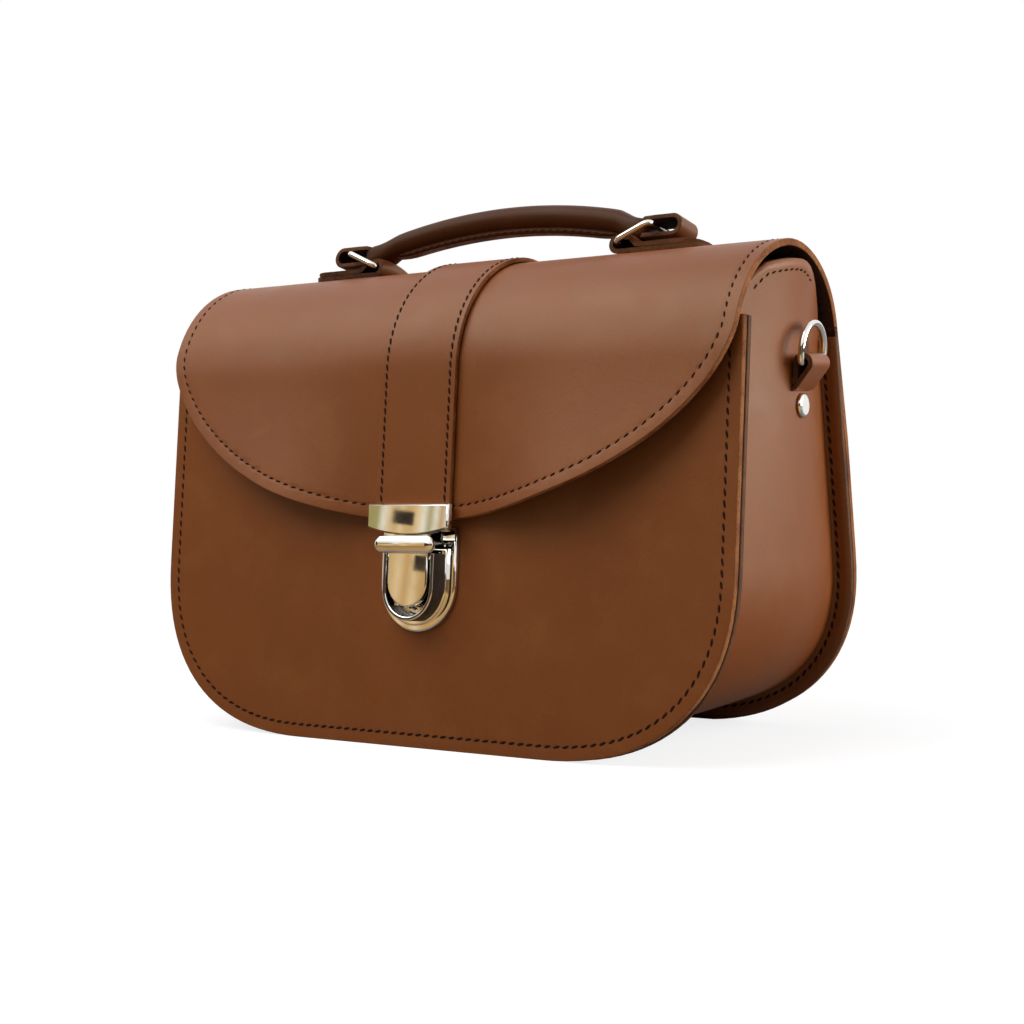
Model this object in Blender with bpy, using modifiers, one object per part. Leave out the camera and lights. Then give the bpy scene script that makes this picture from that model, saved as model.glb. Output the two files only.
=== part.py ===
"""A small leather crossbody bag: thick leather panels, a smile-shaped flap with a tuck lock, a rolled handle
on wire rings and a D-ring at each end. Metres, +Z up, front towards -Y, standing on the ground plane."""

import math

import bmesh
import bpy
from mathutils import Matrix, Vector

# Leather and running clearances
PANEL_LEATHER = 0.0022
GUSSET_LEATHER = 0.0020
STRAP_LEATHER = 0.0015
CHAPE_LEATHER = 0.0015
SIDE_CHAPE_LEATHER = 0.0016
SEAT_GAP = 0.0003
WALL_GAP = 0.0006
OVERRUN = 0.002
FLOOR_TRIM = 0.0004

# Body
PANEL_WIDTH = 0.226
BAG_HEIGHT = 0.153
BASE_DEPTH = 0.0905
FRONT_LEAN = math.radians(7.5)
BACK_LEAN = math.radians(5.5)
CORNER_RUN = 0.066
CORNER_RISE = 0.058
CORNER_POWER_SHARE = 2.4
FRONT_PANEL_HEIGHT = 0.1275
FLANGE = 0.007
GUSSET_BOW = 0.005
EAR_GAP = 0.0025

# Flap and its strap
FLAP_INSET = 0.001
FLAP_STANDOFF = 0.002
FLAP_TOP_RADIUS = 0.029
FLAP_TOP_TURN = math.radians(95)
FLAP_EDGE_HEIGHT = 0.0713
FLAP_DROP = 0.058
FLAP_EDGE_POWER_SHARE = 1.7
FLAP_FLARE = 0.010
FLARE_FULL_X = 0.060
FLARE_GROWTH_SHARE = 1.5
FLAP_STRAP_WIDTH = 0.030
FLAP_STRAP_PAST_TOP = math.radians(38)

# Lock, in the front panel's own frame: across, up the panel, and out from its face
CASE_WIDTH = 0.0288
CASE_TOP = 0.0693
CASE_BASE = 0.0015
CASE_ROUND_CENTRE = 0.0514
HOUSING_WIDTH = 0.0202
HOUSING_ROUND_CENTRE = 0.0499
HOUSING_TOP = 0.0611
HOUSING_RISE = 0.0065
HOUSING_WALL = 0.0016
SLIDE_TRAVEL = 0.0022
SLIDE_FACE = 0.002
SLIDE_FACE_TOP = 0.064
THUMB_BAR_WIDTH = 0.022
THUMB_BAR_HEIGHT = 0.0046
THUMB_BAR_DEPTH = 0.0034
THUMB_BAR_LOW = 0.0614
SLIDE_BLOCK_WIDTH = 0.011
SLIDE_BLOCK_LOW = 0.056
SLIDE_BLOCK_HIGH = 0.060
SPRING_RADIUS = 0.001
SPRING_WIRE_RADIUS = 0.00025
SPRING_TURNS = 8
LOCK_PLATE_WIDTH = 0.0325
LOCK_PLATE_TOP = 0.0765
LOCK_PLATE_SIDE_LOW = 0.0689
LOCK_PLATE_MIDDLE_LOW = 0.0666
LOCK_PLATE_METAL = 0.002
LOCK_PLATE_BEVEL = 0.0005
TONGUE_WIDTH = 0.014
TONGUE_METAL = 0.002
TONGUE_LOW = 0.0655
TONGUE_STANDOFF = 0.004
BACKING_METAL = 0.0008
BACKING_WIDTH = 0.028
BACKING_LOW = 0.0714
BACKING_HIGH = 0.0764
RIVET_SPACING = 0.021
SMALL_SHANK_RADIUS = 0.001
SMALL_HEAD_RADIUS = 0.0022
SMALL_HEAD_HEIGHT = 0.0004
SCREW_SPACING = 0.012
SCREW_HEIGHT = 0.053
SCREW_HEAD_RADIUS = 0.0025
SCREW_HEAD_HEIGHT = 0.0012
BACK_PLATE_WIDTH = 0.022
BACK_PLATE_LOW = 0.046
BACK_PLATE_HIGH = 0.060

# Handle, in a frame that stands on the flap: across, out from the flap, and towards the front
HANDLE_TILT = math.radians(15)
HANDLE_RISE = 0.0164
HANDLE_ARCH = 0.0067
HANDLE_ARCH_HALF = 0.056
HANDLE_RADIUS = 0.0042
HANDLE_CORE_RADIUS = 0.0027
HANDLE_TUBE_HALF = 0.0455
HANDLE_CORE_HALF = 0.041
HANDLE_FIN_HALF = 0.0435
HANDLE_FIN = 0.0016
HANDLE_FIN_WIDTH = 0.0028
HANDLE_SLIT = 0.0005
HANDLE_STRAP_WIDTH = 0.015
HANDLE_LIFT = 0.004
LOOP_HOLE_HEIGHT = 0.0034
HANDLE_LOOP_INWARD = 0.0025
HANDLE_LOOP_OUTWARD = 0.006
CHAPE_PIVOT_X = 0.050
CHAPE_END_X = 0.080
CHAPE_POINT = 0.005
RING_LENGTH = 0.013
RING_REST = math.radians(24)
RING_WIRE_RADIUS = 0.001
RING_SIDE_GAP = 0.0008
RING_CORNER = 0.0022

# End fittings, in a frame on the gusset: out from the wall, up, and across
SIDE_FITTING_SHARE = 0.6
SLIT_HEIGHT_SHARE = 0.714
SIDE_CHAPE_WIDTH = 0.0138
SIDE_TAIL_DROP = 0.014
SIDE_RING_AXIS_OUT = 0.0036
SIDE_RING_AXIS_UP = 0.0065
SIDE_LOOP_HOLE_RADIUS = 0.0016
SIDE_RING_WIRE_RADIUS = 0.0011
SIDE_RING_INSIDE = 0.0148
SIDE_RING_LEG = 0.0035
SIDE_RING_HEIGHT = 0.012
SIDE_RING_CORNER = 0.0015
SIDE_RING_TILT = math.radians(6)
RIVET_DROP = 0.006
RIVET_HEAD_RADIUS = 0.0037
RIVET_HEAD_HEIGHT = 0.0014
RIVET_SHANK_RADIUS = 0.0015
RIVET_BURR_RADIUS = 0.003
RIVET_BURR_HEIGHT = 0.001

# Facets
CORNER_STEPS = 10
EDGE_STEPS = 15
ARCH_STEPS = 14
ROUND_STEPS = 16
COIL_STEPS = 10

# Worked out from the sizes above
SIN_LEAN = math.sin(FRONT_LEAN)
COS_LEAN = math.cos(FRONT_LEAN)
LEANS = {-1: FRONT_LEAN, 1: BACK_LEAN}
FLAP_PROUD = FLAP_STANDOFF + PANEL_LEATHER
FLAP_HALF = PANEL_WIDTH / 2 - FLAP_INSET
# The flap's top bends round two arcs: a small one from the back panel to just past the top, and a larger one
# that runs on into its straight front. Each centre is a Y and a height
TOP_CENTRE_Z = BAG_HEIGHT - FLAP_TOP_RADIUS
TOP_CENTRE = (
    BASE_DEPTH / 2 - TOP_CENTRE_Z * math.tan(BACK_LEAN) - FLAP_TOP_RADIUS / math.cos(BACK_LEAN),
    TOP_CENTRE_Z,
)
FRONT_DISTANCE = (TOP_CENTRE[0] + BASE_DEPTH / 2) * COS_LEAN - TOP_CENTRE[1] * SIN_LEAN + FLAP_PROUD
FRONT_TURN_SHARE = math.cos(FLAP_TOP_TURN + FRONT_LEAN)
FLAP_FRONT_RADIUS = (FRONT_DISTANCE + FLAP_TOP_RADIUS * FRONT_TURN_SHARE) / (1 + FRONT_TURN_SHARE)
FRONT_CENTRE = (
    TOP_CENTRE[0] - (FLAP_FRONT_RADIUS - FLAP_TOP_RADIUS) * math.cos(FLAP_TOP_TURN),
    TOP_CENTRE[1] - (FLAP_FRONT_RADIUS - FLAP_TOP_RADIUS) * math.sin(FLAP_TOP_TURN),
)
TOP_LENGTH = FLAP_TOP_RADIUS * (FLAP_TOP_TURN - BACK_LEAN)
ARCH_LENGTH = TOP_LENGTH + FLAP_FRONT_RADIUS * (math.pi - FRONT_LEAN - FLAP_TOP_TURN)
HINGE = Vector(
    (
        0,
        TOP_CENTRE[0] + FLAP_TOP_RADIUS * math.cos(BACK_LEAN),
        TOP_CENTRE[1] + FLAP_TOP_RADIUS * math.sin(BACK_LEAN),
    )
)
HINGE_UP_PANEL = HINGE.z / math.cos(BACK_LEAN)
FRONT_TANGENT_Z = FRONT_CENTRE[1] + FLAP_FRONT_RADIUS * SIN_LEAN
STRAP_FACE = FLAP_PROUD + SEAT_GAP + STRAP_LEATHER
FLAP_EDGE_UP = (FLAP_EDGE_HEIGHT - FLAP_PROUD * SIN_LEAN) / COS_LEAN
PLATE_FACE = STRAP_FACE + SEAT_GAP + LOCK_PLATE_METAL
HOUSING_FACE = SEAT_GAP + HOUSING_RISE
BAR_BACK = HOUSING_FACE + SEAT_GAP
CAVITY_FLOOR = SEAT_GAP + CASE_BASE
CAVITY_RADIUS = HOUSING_WIDTH / 2 - HOUSING_WALL
SMALL_HOLE_RADIUS = SMALL_SHANK_RADIUS + SEAT_GAP
RIVET_HEIGHT = (BACKING_LOW + BACKING_HIGH) / 2
# The ring's bar is straight and the chape's loop follows the flap's curve, which drops at the chape's edges
CHAPE_EDGE_DROP = FLAP_TOP_RADIUS - math.sqrt(FLAP_TOP_RADIUS**2 - (HANDLE_STRAP_WIDTH / 2) ** 2)
CHAPE_PIVOT_RISE = SEAT_GAP + CHAPE_LEATHER + (LOOP_HOLE_HEIGHT - CHAPE_EDGE_DROP) / 2
LOOP_OUTER = LOOP_HOLE_HEIGHT / 2 + CHAPE_LEATHER
CHAPE_LOOP_RISE = SEAT_GAP + LOOP_OUTER
RING_OUTER_BAR_X = CHAPE_PIVOT_X + RING_LENGTH * math.cos(RING_REST)
RING_OUTER_BAR_RISE = CHAPE_PIVOT_RISE + RING_LENGTH * math.sin(RING_REST)
RING_HALF_WIDTH = HANDLE_STRAP_WIDTH / 2 + RING_SIDE_GAP + RING_WIRE_RADIUS
SIDE_RING_HALF = SIDE_RING_INSIDE / 2 + SIDE_RING_WIRE_RADIUS
# The thumb bar reaches past the front panel's foot, so the bag stands this far back to be centred on its origin
BAG_SHIFT = ((BAR_BACK + THUMB_BAR_DEPTH) * COS_LEAN - THUMB_BAR_LOW * SIN_LEAN) / 2


def clear_scene():
    for obj in list(bpy.data.objects):
        bpy.data.objects.remove(obj, do_unlink=True)


def new_collection(name):
    collection = bpy.data.collections.new(name)
    bpy.context.scene.collection.children.link(collection)
    return collection


def material(name, colour, roughness, metallic=0.0):
    made = bpy.data.materials.new(name)
    made.use_nodes = True
    shader = made.node_tree.nodes["Principled BSDF"]
    shader.inputs["Base Color"].default_value = (*colour, 1.0)
    shader.inputs["Roughness"].default_value = roughness
    shader.inputs["Metallic"].default_value = metallic
    return made


clear_scene()
PARTS = new_collection("crossbody_bag")
CUTTERS = new_collection("cutters")
CUTTERS.hide_render = True
LEATHER = material("saddle_leather", (0.235, 0.095, 0.045), 0.45)
DARK_LEATHER = material("gusset_leather", (0.30, 0.15, 0.085), 0.5)
ROPE = material("rope_core", (0.75, 0.68, 0.55), 0.9)
CHROME = material("chrome", (0.80, 0.79, 0.76), 0.12, 1.0)
STEEL = material("spring_steel", (0.55, 0.56, 0.58), 0.3, 1.0)


BAG = bpy.data.objects.new("bag", None)
BAG.location = (0, BAG_SHIFT, 0)
PARTS.objects.link(BAG)


def frame(name, location, rotation, parent=BAG):
    """An empty that pieces are placed under, at a place and turn in its parent's frame."""
    empty = bpy.data.objects.new(name, None)
    empty.location = location
    empty.rotation_euler = rotation
    empty.parent = parent
    PARTS.objects.link(empty)
    return empty


def place(name, mesh, finish, parent=BAG, location=(0, 0, 0), rotation=(0, 0, 0)):
    """A piece of the bag or, with no finish, a hidden shape that cuts or joins."""
    obj = bpy.data.objects.new(name, mesh)
    obj.location = location
    obj.rotation_euler = rotation
    obj.parent = parent
    if finish is None:
        CUTTERS.objects.link(obj)
        obj.hide_render = True
        obj.display_type = "WIRE"
    else:
        PARTS.objects.link(obj)
        mesh.materials.append(finish)
    return obj


def mesh_of(bm, name):
    mesh = bpy.data.meshes.new(name)
    bm.to_mesh(mesh)
    bm.free()
    return mesh


def mesh_of_curve(curve):
    """The curve as a closed mesh, its caps joined to its sides."""
    source = bpy.data.objects.new(curve.name, curve)
    bpy.context.scene.collection.objects.link(source)
    evaluated = source.evaluated_get(bpy.context.evaluated_depsgraph_get())
    mesh = bpy.data.meshes.new_from_object(evaluated)
    bpy.data.objects.remove(source, do_unlink=True)
    bm = bmesh.new()
    bm.from_mesh(mesh)
    bmesh.ops.remove_doubles(bm, verts=bm.verts, dist=SEAT_GAP / ROUND_STEPS)
    bmesh.ops.recalc_face_normals(bm, faces=bm.faces)
    bm.to_mesh(mesh)
    bm.free()
    mesh.materials.clear()
    return mesh


def outline_mesh(name, loops, low, high):
    """A flat outline, its further loops being holes, as a solid between two heights."""
    curve = bpy.data.curves.new(name, "CURVE")
    curve.dimensions = "2D"
    curve.fill_mode = "BOTH"
    curve.extrude = (high - low) / 2
    for loop in loops:
        spline = curve.splines.new("POLY")
        spline.points.add(len(loop) - 1)
        for point, (x, y) in zip(spline.points, loop):
            point.co = (x, y, 0, 1)
        spline.use_cyclic_u = True
    mesh = mesh_of_curve(curve)
    mesh.transform(Matrix.Translation((0, 0, (low + high) / 2)))
    return mesh


def wire_curve(name, points, radius, closed, resolution=2):
    curve = bpy.data.curves.new(name, "CURVE")
    curve.dimensions = "3D"
    curve.bevel_depth = radius
    curve.bevel_resolution = resolution
    curve.use_fill_caps = not closed
    spline = curve.splines.new("POLY")
    spline.points.add(len(points) - 1)
    for point, position in zip(spline.points, points):
        point.co = (*position, 1)
    spline.use_cyclic_u = closed
    return curve


def box_mesh(name, low, high):
    bm = bmesh.new()
    bmesh.ops.create_cube(bm, size=1)
    low, high = Vector(low), Vector(high)
    for vert in bm.verts:
        vert.co = (low + high) / 2 + Matrix.Diagonal(high - low) @ vert.co
    return mesh_of(bm, name)


def cylinder_mesh(name, radius, low, high):
    bm = bmesh.new()
    bmesh.ops.create_cone(
        bm, cap_ends=True, segments=ROUND_STEPS, radius1=radius, radius2=radius, depth=high - low
    )
    bmesh.ops.translate(bm, verts=bm.verts, vec=(0, 0, (low + high) / 2))
    return mesh_of(bm, name)


def turned_mesh(name, profile):
    """A profile of radius and height, from its top point on the axis down to its lowest, to be turned."""
    bm = bmesh.new()
    verts = [bm.verts.new((radius, 0, height)) for radius, height in profile]
    for upper, lower in zip(verts, verts[1:]):
        bm.edges.new((upper, lower))
    return mesh_of(bm, name)


def turn(obj):
    screw = obj.modifiers.new("turned", "SCREW")
    screw.steps = screw.render_steps = ROUND_STEPS
    screw.use_merge_vertices = True
    screw.merge_threshold = SEAT_GAP / ROUND_STEPS
    screw.use_smooth_shade = True
    return obj


def combine(obj, other, operation):
    boolean = obj.modifiers.new(other.name, "BOOLEAN")
    boolean.operation = operation
    boolean.object = other
    boolean.solver = "EXACT"


def cut(obj, *cutters):
    for cutter in cutters:
        combine(obj, cutter, "DIFFERENCE")


def join(obj, *others):
    for other in others:
        combine(obj, other, "UNION")


def sheet_mesh(name, columns, rows, position):
    """A grid of columns by rows points, each at position(column, row)."""
    bm = bmesh.new()
    bmesh.ops.create_grid(bm, x_segments=columns - 1, y_segments=rows - 1, size=1)
    for vert in bm.verts:
        column = round((vert.co.x + 1) / 2 * (columns - 1))
        row = round((vert.co.y + 1) / 2 * (rows - 1))
        vert.co = position(column, row)
    bmesh.ops.recalc_face_normals(bm, faces=bm.faces)
    return mesh_of(bm, name)


def thicken(obj, thickness):
    solidify = obj.modifiers.new("leather", "SOLIDIFY")
    solidify.thickness = thickness
    solidify.offset = 0
    solidify.use_even_offset = True


def share(step, steps):
    return step / steps


def arc(centre, radius, start, end, steps):
    """Points of a circle's arc, both ends with it."""
    angles = [start + (end - start) * share(step, steps) for step in range(steps + 1)]
    return [(centre[0] + radius * math.cos(a), centre[1] + radius * math.sin(a)) for a in angles]


def shield(half_width, round_centre, top):
    """A U: a straight top, parallel sides and a half round below."""
    return [(half_width, top)] + arc((0, round_centre), half_width, 0, -math.pi, ROUND_STEPS) + [(-half_width, top)]


def panel_side(inset, top):
    """The right half of a panel's outline from its top down to the middle of its straight bottom edge."""
    half = PANEL_WIDTH / 2
    points = [Vector((half, top)), Vector((half, (top + CORNER_RISE) / 2))]
    power = 2 / CORNER_POWER_SHARE
    for step in range(CORNER_STEPS + 1):
        turned = math.pi / 2 * share(step, CORNER_STEPS)
        across = half - CORNER_RUN + CORNER_RUN * math.cos(turned) ** power
        points.append(Vector((across, CORNER_RISE * (1 - math.sin(turned) ** power) - FLOOR_TRIM)))
    points.append(Vector((0, -FLOOR_TRIM)))
    inner = []
    for index, point in enumerate(points):
        before = points[max(index - 1, 0)]
        after = points[min(index + 1, len(points) - 1)]
        along = (after - before).normalized()
        inner.append(point + inset * Vector((along.y, -along.x)))
    return inner


def panel_outline(top):
    right = panel_side(0, top)
    return [tuple(p) for p in right] + [(-p.x, p.y) for p in reversed(right[:-1])]


def panel_position(across, up, depth, side):
    """A point at a depth inside a panel's outer face; side is -1 at the front and 1 at the back."""
    lean = LEANS[side]
    y = side * (BASE_DEPTH / 2 - up * math.sin(lean) - depth * math.cos(lean))
    return Vector((across, y, up * math.cos(lean) - depth * math.sin(lean)))


def flap_position(across, along, proud):
    """A point above the flap's outer face, at a distance along it from the hinge, over the top and down the front."""
    if along < TOP_LENGTH:
        centre = TOP_CENTRE
        radius = FLAP_TOP_RADIUS
        angle = BACK_LEAN + along / FLAP_TOP_RADIUS
    else:
        centre = FRONT_CENTRE
        radius = FLAP_FRONT_RADIUS
        angle = FLAP_TOP_TURN + (min(along, ARCH_LENGTH) - TOP_LENGTH) / FLAP_FRONT_RADIUS
    below = max(along - ARCH_LENGTH, 0)
    y = centre[0] + (radius + proud) * math.cos(angle) - below * SIN_LEAN
    return Vector((across, y, centre[1] + (radius + proud) * math.sin(angle) - below * COS_LEAN))


def flap_along(height):
    """The distance along the flap from its hinge to a height on its straight front."""
    return ARCH_LENGTH + (FRONT_TANGENT_Z - height) / COS_LEAN


FLAP_SIDE_ALONG = flap_along(FLAP_EDGE_HEIGHT) - FLAP_DROP


def flap_flare(across, along):
    """How far the flap's front stands off on both sides of the strap: more and more down to its lower edge."""
    way = (abs(across) - FLAP_STRAP_WIDTH / 2) / (FLARE_FULL_X - FLAP_STRAP_WIDTH / 2)
    way = min(max(way, 0), 1)
    down = max(along - FLAP_SIDE_ALONG, 0) / FLAP_DROP
    return FLAP_FLARE * (3 - 2 * way) * way**2 * down**FLARE_GROWTH_SHARE


floor_cutter = place(
    "floor_cutter",
    box_mesh(
        "floor_cutter", (-PANEL_WIDTH, -BASE_DEPTH, -PANEL_LEATHER - OVERRUN), (PANEL_WIDTH, BASE_DEPTH, 0)
    ),
    None,
)
front_frame = frame("front_frame", (0, -BASE_DEPTH / 2, 0), (math.pi / 2 - FRONT_LEAN, 0, 0))
back_frame = frame("back_frame", (0, BASE_DEPTH / 2, 0), (math.pi / 2 - BACK_LEAN, 0, math.pi))
flap_hinge = frame("flap_hinge", HINGE, (0, 0, 0))
flap_front_frame = frame(
    "flap_front_frame",
    Vector((0, -BASE_DEPTH / 2, 0)) - HINGE,
    (math.pi / 2 - FRONT_LEAN, 0, 0),
    flap_hinge,
)


def hole(name, radius, parent, x, y, low, high):
    return place(name, cylinder_mesh(name, radius, low, high), None, parent, (x, y, 0))


def build_panels():
    front = place(
        "front_panel",
        outline_mesh("front_panel", [panel_outline(FRONT_PANEL_HEIGHT / COS_LEAN)], -PANEL_LEATHER, 0),
        LEATHER,
        front_frame,
    )
    back = place(
        "back_panel",
        outline_mesh("back_panel", [panel_outline(HINGE_UP_PANEL - SEAT_GAP)], -PANEL_LEATHER, 0),
        LEATHER,
        back_frame,
    )
    cut(front, floor_cutter)
    cut(back, floor_cutter)
    for side, name in ((-1, "left"), (1, "right")):
        cutter = hole(
            "panel_screw_hole_" + name,
            SMALL_HOLE_RADIUS,
            front_frame,
            side * SCREW_SPACING / 2,
            SCREW_HEIGHT,
            -PANEL_LEATHER - OVERRUN,
            OVERRUN,
        )
        cut(front, cutter)


def gusset_middle():
    """How far the middle of the gusset's leather lies inside the panels' outer faces."""
    return PANEL_LEATHER + SEAT_GAP + GUSSET_LEATHER / 2


GUSSET_TOP = BAG_HEIGHT / COS_LEAN
WALL_COLUMNS = 7


def gusset_depths(height):
    """The Y of the gusset's folds at the front and the back."""
    return [panel_position(0, height / math.cos(LEANS[side]), gusset_middle(), side).y for side in (-1, 1)]


def build_gusset():
    edge = panel_side(0, GUSSET_TOP)
    fold = panel_side(FLANGE, GUSSET_TOP)
    edge += [Vector((-p.x, p.y)) for p in reversed(edge[:-1])]
    fold += [Vector((-p.x, p.y)) for p in reversed(fold[:-1])]

    def position(column, row):
        if column in (0, WALL_COLUMNS + 1):
            side = -1 if column == 0 else 1
            return panel_position(edge[row].x, edge[row].y, gusset_middle(), side)
        across = share(column - 1, WALL_COLUMNS - 1)
        front = panel_position(fold[row].x, fold[row].y, gusset_middle(), -1)
        back = panel_position(fold[row].x, fold[row].y, gusset_middle(), 1)
        outward = (edge[row] - fold[row]).normalized()
        bow = GUSSET_BOW * math.sin(math.pi * across) * outward.x
        return front.lerp(back, across) + Vector((bow, 0, 0))

    mesh = sheet_mesh("gusset", WALL_COLUMNS + 2, len(edge), position)
    gusset = place("gusset", mesh, DARK_LEATHER)
    thicken(gusset, GUSSET_LEATHER)
    cut(gusset, floor_cutter)
    inset = PANEL_LEATHER + EAR_GAP
    low = -OVERRUN
    envelope = [(-BASE_DEPTH, low), (BASE_DEPTH, low), (BASE_DEPTH, TOP_CENTRE[1])]
    envelope += arc(TOP_CENTRE, FLAP_TOP_RADIUS - inset, 0, FLAP_TOP_TURN, ARCH_STEPS)
    envelope += arc(FRONT_CENTRE, FLAP_FRONT_RADIUS - inset, FLAP_TOP_TURN, math.pi, ARCH_STEPS)[1:]
    envelope += [(-BASE_DEPTH, FRONT_CENTRE[1])]
    limits = place(
        "ear_envelope",
        outline_mesh("ear_envelope", [envelope], -PANEL_WIDTH, PANEL_WIDTH),
        None,
        BAG,
        (0, 0, 0),
        (math.pi / 2, 0, math.pi / 2),
    )
    combine(gusset, limits, "INTERSECT")
    return gusset


def flap_edge():
    """The flap's lower edge from its middle to its side: across, and how far it lies along the flap."""
    points = []
    for step in range(EDGE_STEPS + 1):
        turned = math.pi / 2 * share(step, EDGE_STEPS)
        drop = FLAP_DROP * max(math.cos(turned), 0) ** (2 / FLAP_EDGE_POWER_SHARE)
        points.append((FLAP_HALF * math.sin(turned), FLAP_SIDE_ALONG + drop))
    return points


def build_flap():
    right = flap_edge()
    edge = [(-x, end) for x, end in reversed(right[1:])] + right
    shared_length = FLAP_SIDE_ALONG - FLAP_DROP / EDGE_STEPS
    front_rows = ARCH_STEPS // 2

    def position(column, row):
        across, end = edge[column]
        if row <= ARCH_STEPS:
            along = shared_length * share(row, ARCH_STEPS)
        else:
            along = shared_length + (end - shared_length) * share(row - ARCH_STEPS, front_rows)
        return flap_position(across, along, flap_flare(across, along) - PANEL_LEATHER / 2) - HINGE

    mesh = sheet_mesh("flap", len(edge), ARCH_STEPS + front_rows + 1, position)
    flap = place("flap", mesh, LEATHER, flap_hinge)
    thicken(flap, PANEL_LEATHER)

    start = FLAP_TOP_RADIUS * (math.pi / 2 - BACK_LEAN - FLAP_STRAP_PAST_TOP)
    end = flap_along(FLAP_EDGE_HEIGHT)
    strap_rows = ARCH_STEPS + front_rows
    middle = SEAT_GAP + STRAP_LEATHER / 2

    def strap_position(column, row):
        across = FLAP_STRAP_WIDTH * (share(column, 2) - share(1, 2))
        if row <= ARCH_STEPS:
            along = start + (ARCH_LENGTH - start) * share(row, ARCH_STEPS)
        else:
            along = ARCH_LENGTH + (end - ARCH_LENGTH) * share(row - ARCH_STEPS, front_rows)
        return flap_position(across, along, middle) - HINGE

    strap = place("flap_strap", sheet_mesh("flap_strap", 3, strap_rows + 1, strap_position), LEATHER, flap_hinge)
    thicken(strap, STRAP_LEATHER)
    for side, name in ((-1, "left"), (1, "right")):
        cutter = hole(
            "flap_rivet_hole_" + name,
            SMALL_HOLE_RADIUS,
            flap_front_frame,
            side * RIVET_SPACING / 2,
            RIVET_HEIGHT,
            0,
            PLATE_FACE,
        )
        cut(flap, cutter)
        cut(strap, cutter)


def build_lock_case():
    base = outline_mesh(
        "lock_case", [shield(CASE_WIDTH / 2, CASE_ROUND_CENTRE, CASE_TOP)], SEAT_GAP, CAVITY_FLOOR
    )
    case = place("lock_case", base, CHROME, front_frame)
    housing = outline_mesh(
        "case_housing",
        [shield(HOUSING_WIDTH / 2, HOUSING_ROUND_CENTRE, HOUSING_TOP)],
        CAVITY_FLOOR - CASE_BASE / 2,
        HOUSING_FACE,
    )
    cavity = outline_mesh(
        "case_cavity",
        [shield(CAVITY_RADIUS, HOUSING_ROUND_CENTRE, HOUSING_TOP + OVERRUN)],
        CAVITY_FLOOR,
        HOUSING_FACE + OVERRUN,
    )
    join(case, place("case_housing", housing, None, front_frame))
    cut(case, place("case_cavity", cavity, None, front_frame))
    for side, name in ((-1, "left"), (1, "right")):
        cutter = hole(
            "case_screw_hole_" + name,
            SMALL_HOLE_RADIUS,
            front_frame,
            side * SCREW_SPACING / 2,
            SCREW_HEIGHT,
            0,
            CAVITY_FLOOR + OVERRUN,
        )
        cut(case, cutter)


def pill(half_width, low, high):
    radius = (high - low) / 2
    middle = (high + low) / 2
    right = arc((half_width - radius, middle), radius, -math.pi / 2, math.pi / 2, ROUND_STEPS // 2)
    left = arc((radius - half_width, middle), radius, math.pi / 2, 3 * math.pi / 2, ROUND_STEPS // 2)
    return right + left


def build_lock_slide():
    face_front = BAR_BACK
    face_back = BAR_BACK - SLIDE_FACE
    rest_centre = HOUSING_ROUND_CENTRE + SLIDE_TRAVEL
    face = outline_mesh(
        "lock_slide", [shield(CAVITY_RADIUS - SEAT_GAP, rest_centre, SLIDE_FACE_TOP)], face_back, face_front
    )
    slide = place("lock_slide", face, CHROME, front_frame)
    bar = outline_mesh(
        "thumb_bar",
        [pill(THUMB_BAR_WIDTH / 2, THUMB_BAR_LOW, THUMB_BAR_LOW + THUMB_BAR_HEIGHT)],
        BAR_BACK,
        BAR_BACK + THUMB_BAR_DEPTH,
    )
    stem = box_mesh(
        "bar_stem",
        (SEAT_GAP - CAVITY_RADIUS, THUMB_BAR_LOW + SEAT_GAP, face_back + SEAT_GAP),
        (CAVITY_RADIUS - SEAT_GAP, SLIDE_FACE_TOP - SEAT_GAP, BAR_BACK + SEAT_GAP),
    )
    block = box_mesh(
        "slide_block",
        (-SLIDE_BLOCK_WIDTH / 2, SLIDE_BLOCK_LOW, CAVITY_FLOOR + SEAT_GAP),
        (SLIDE_BLOCK_WIDTH / 2, SLIDE_BLOCK_HIGH, face_back + SEAT_GAP),
    )
    join(slide, place("bar_stem", stem, None, front_frame))
    join(slide, place("thumb_bar", bar, None, front_frame))
    join(slide, place("slide_block", block, None, front_frame))

    low = HOUSING_ROUND_CENTRE - math.sqrt(CAVITY_RADIUS**2 - SPRING_RADIUS**2) + SEAT_GAP + SPRING_WIRE_RADIUS
    high = SLIDE_BLOCK_LOW - SEAT_GAP - SPRING_WIRE_RADIUS
    out = (CAVITY_FLOOR + face_back) / 2
    count = SPRING_TURNS * COIL_STEPS
    points = []
    for step in range(count + 1):
        angle = 2 * math.pi * share(step, COIL_STEPS)
        up = low + (high - low) * share(step, count)
        points.append((SPRING_RADIUS * math.cos(angle), up, out + SPRING_RADIUS * math.sin(angle)))
    curve = wire_curve("lock_spring", points, SPRING_WIRE_RADIUS, False, 1)
    place("lock_spring", mesh_of_curve(curve), STEEL, front_frame)


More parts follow.
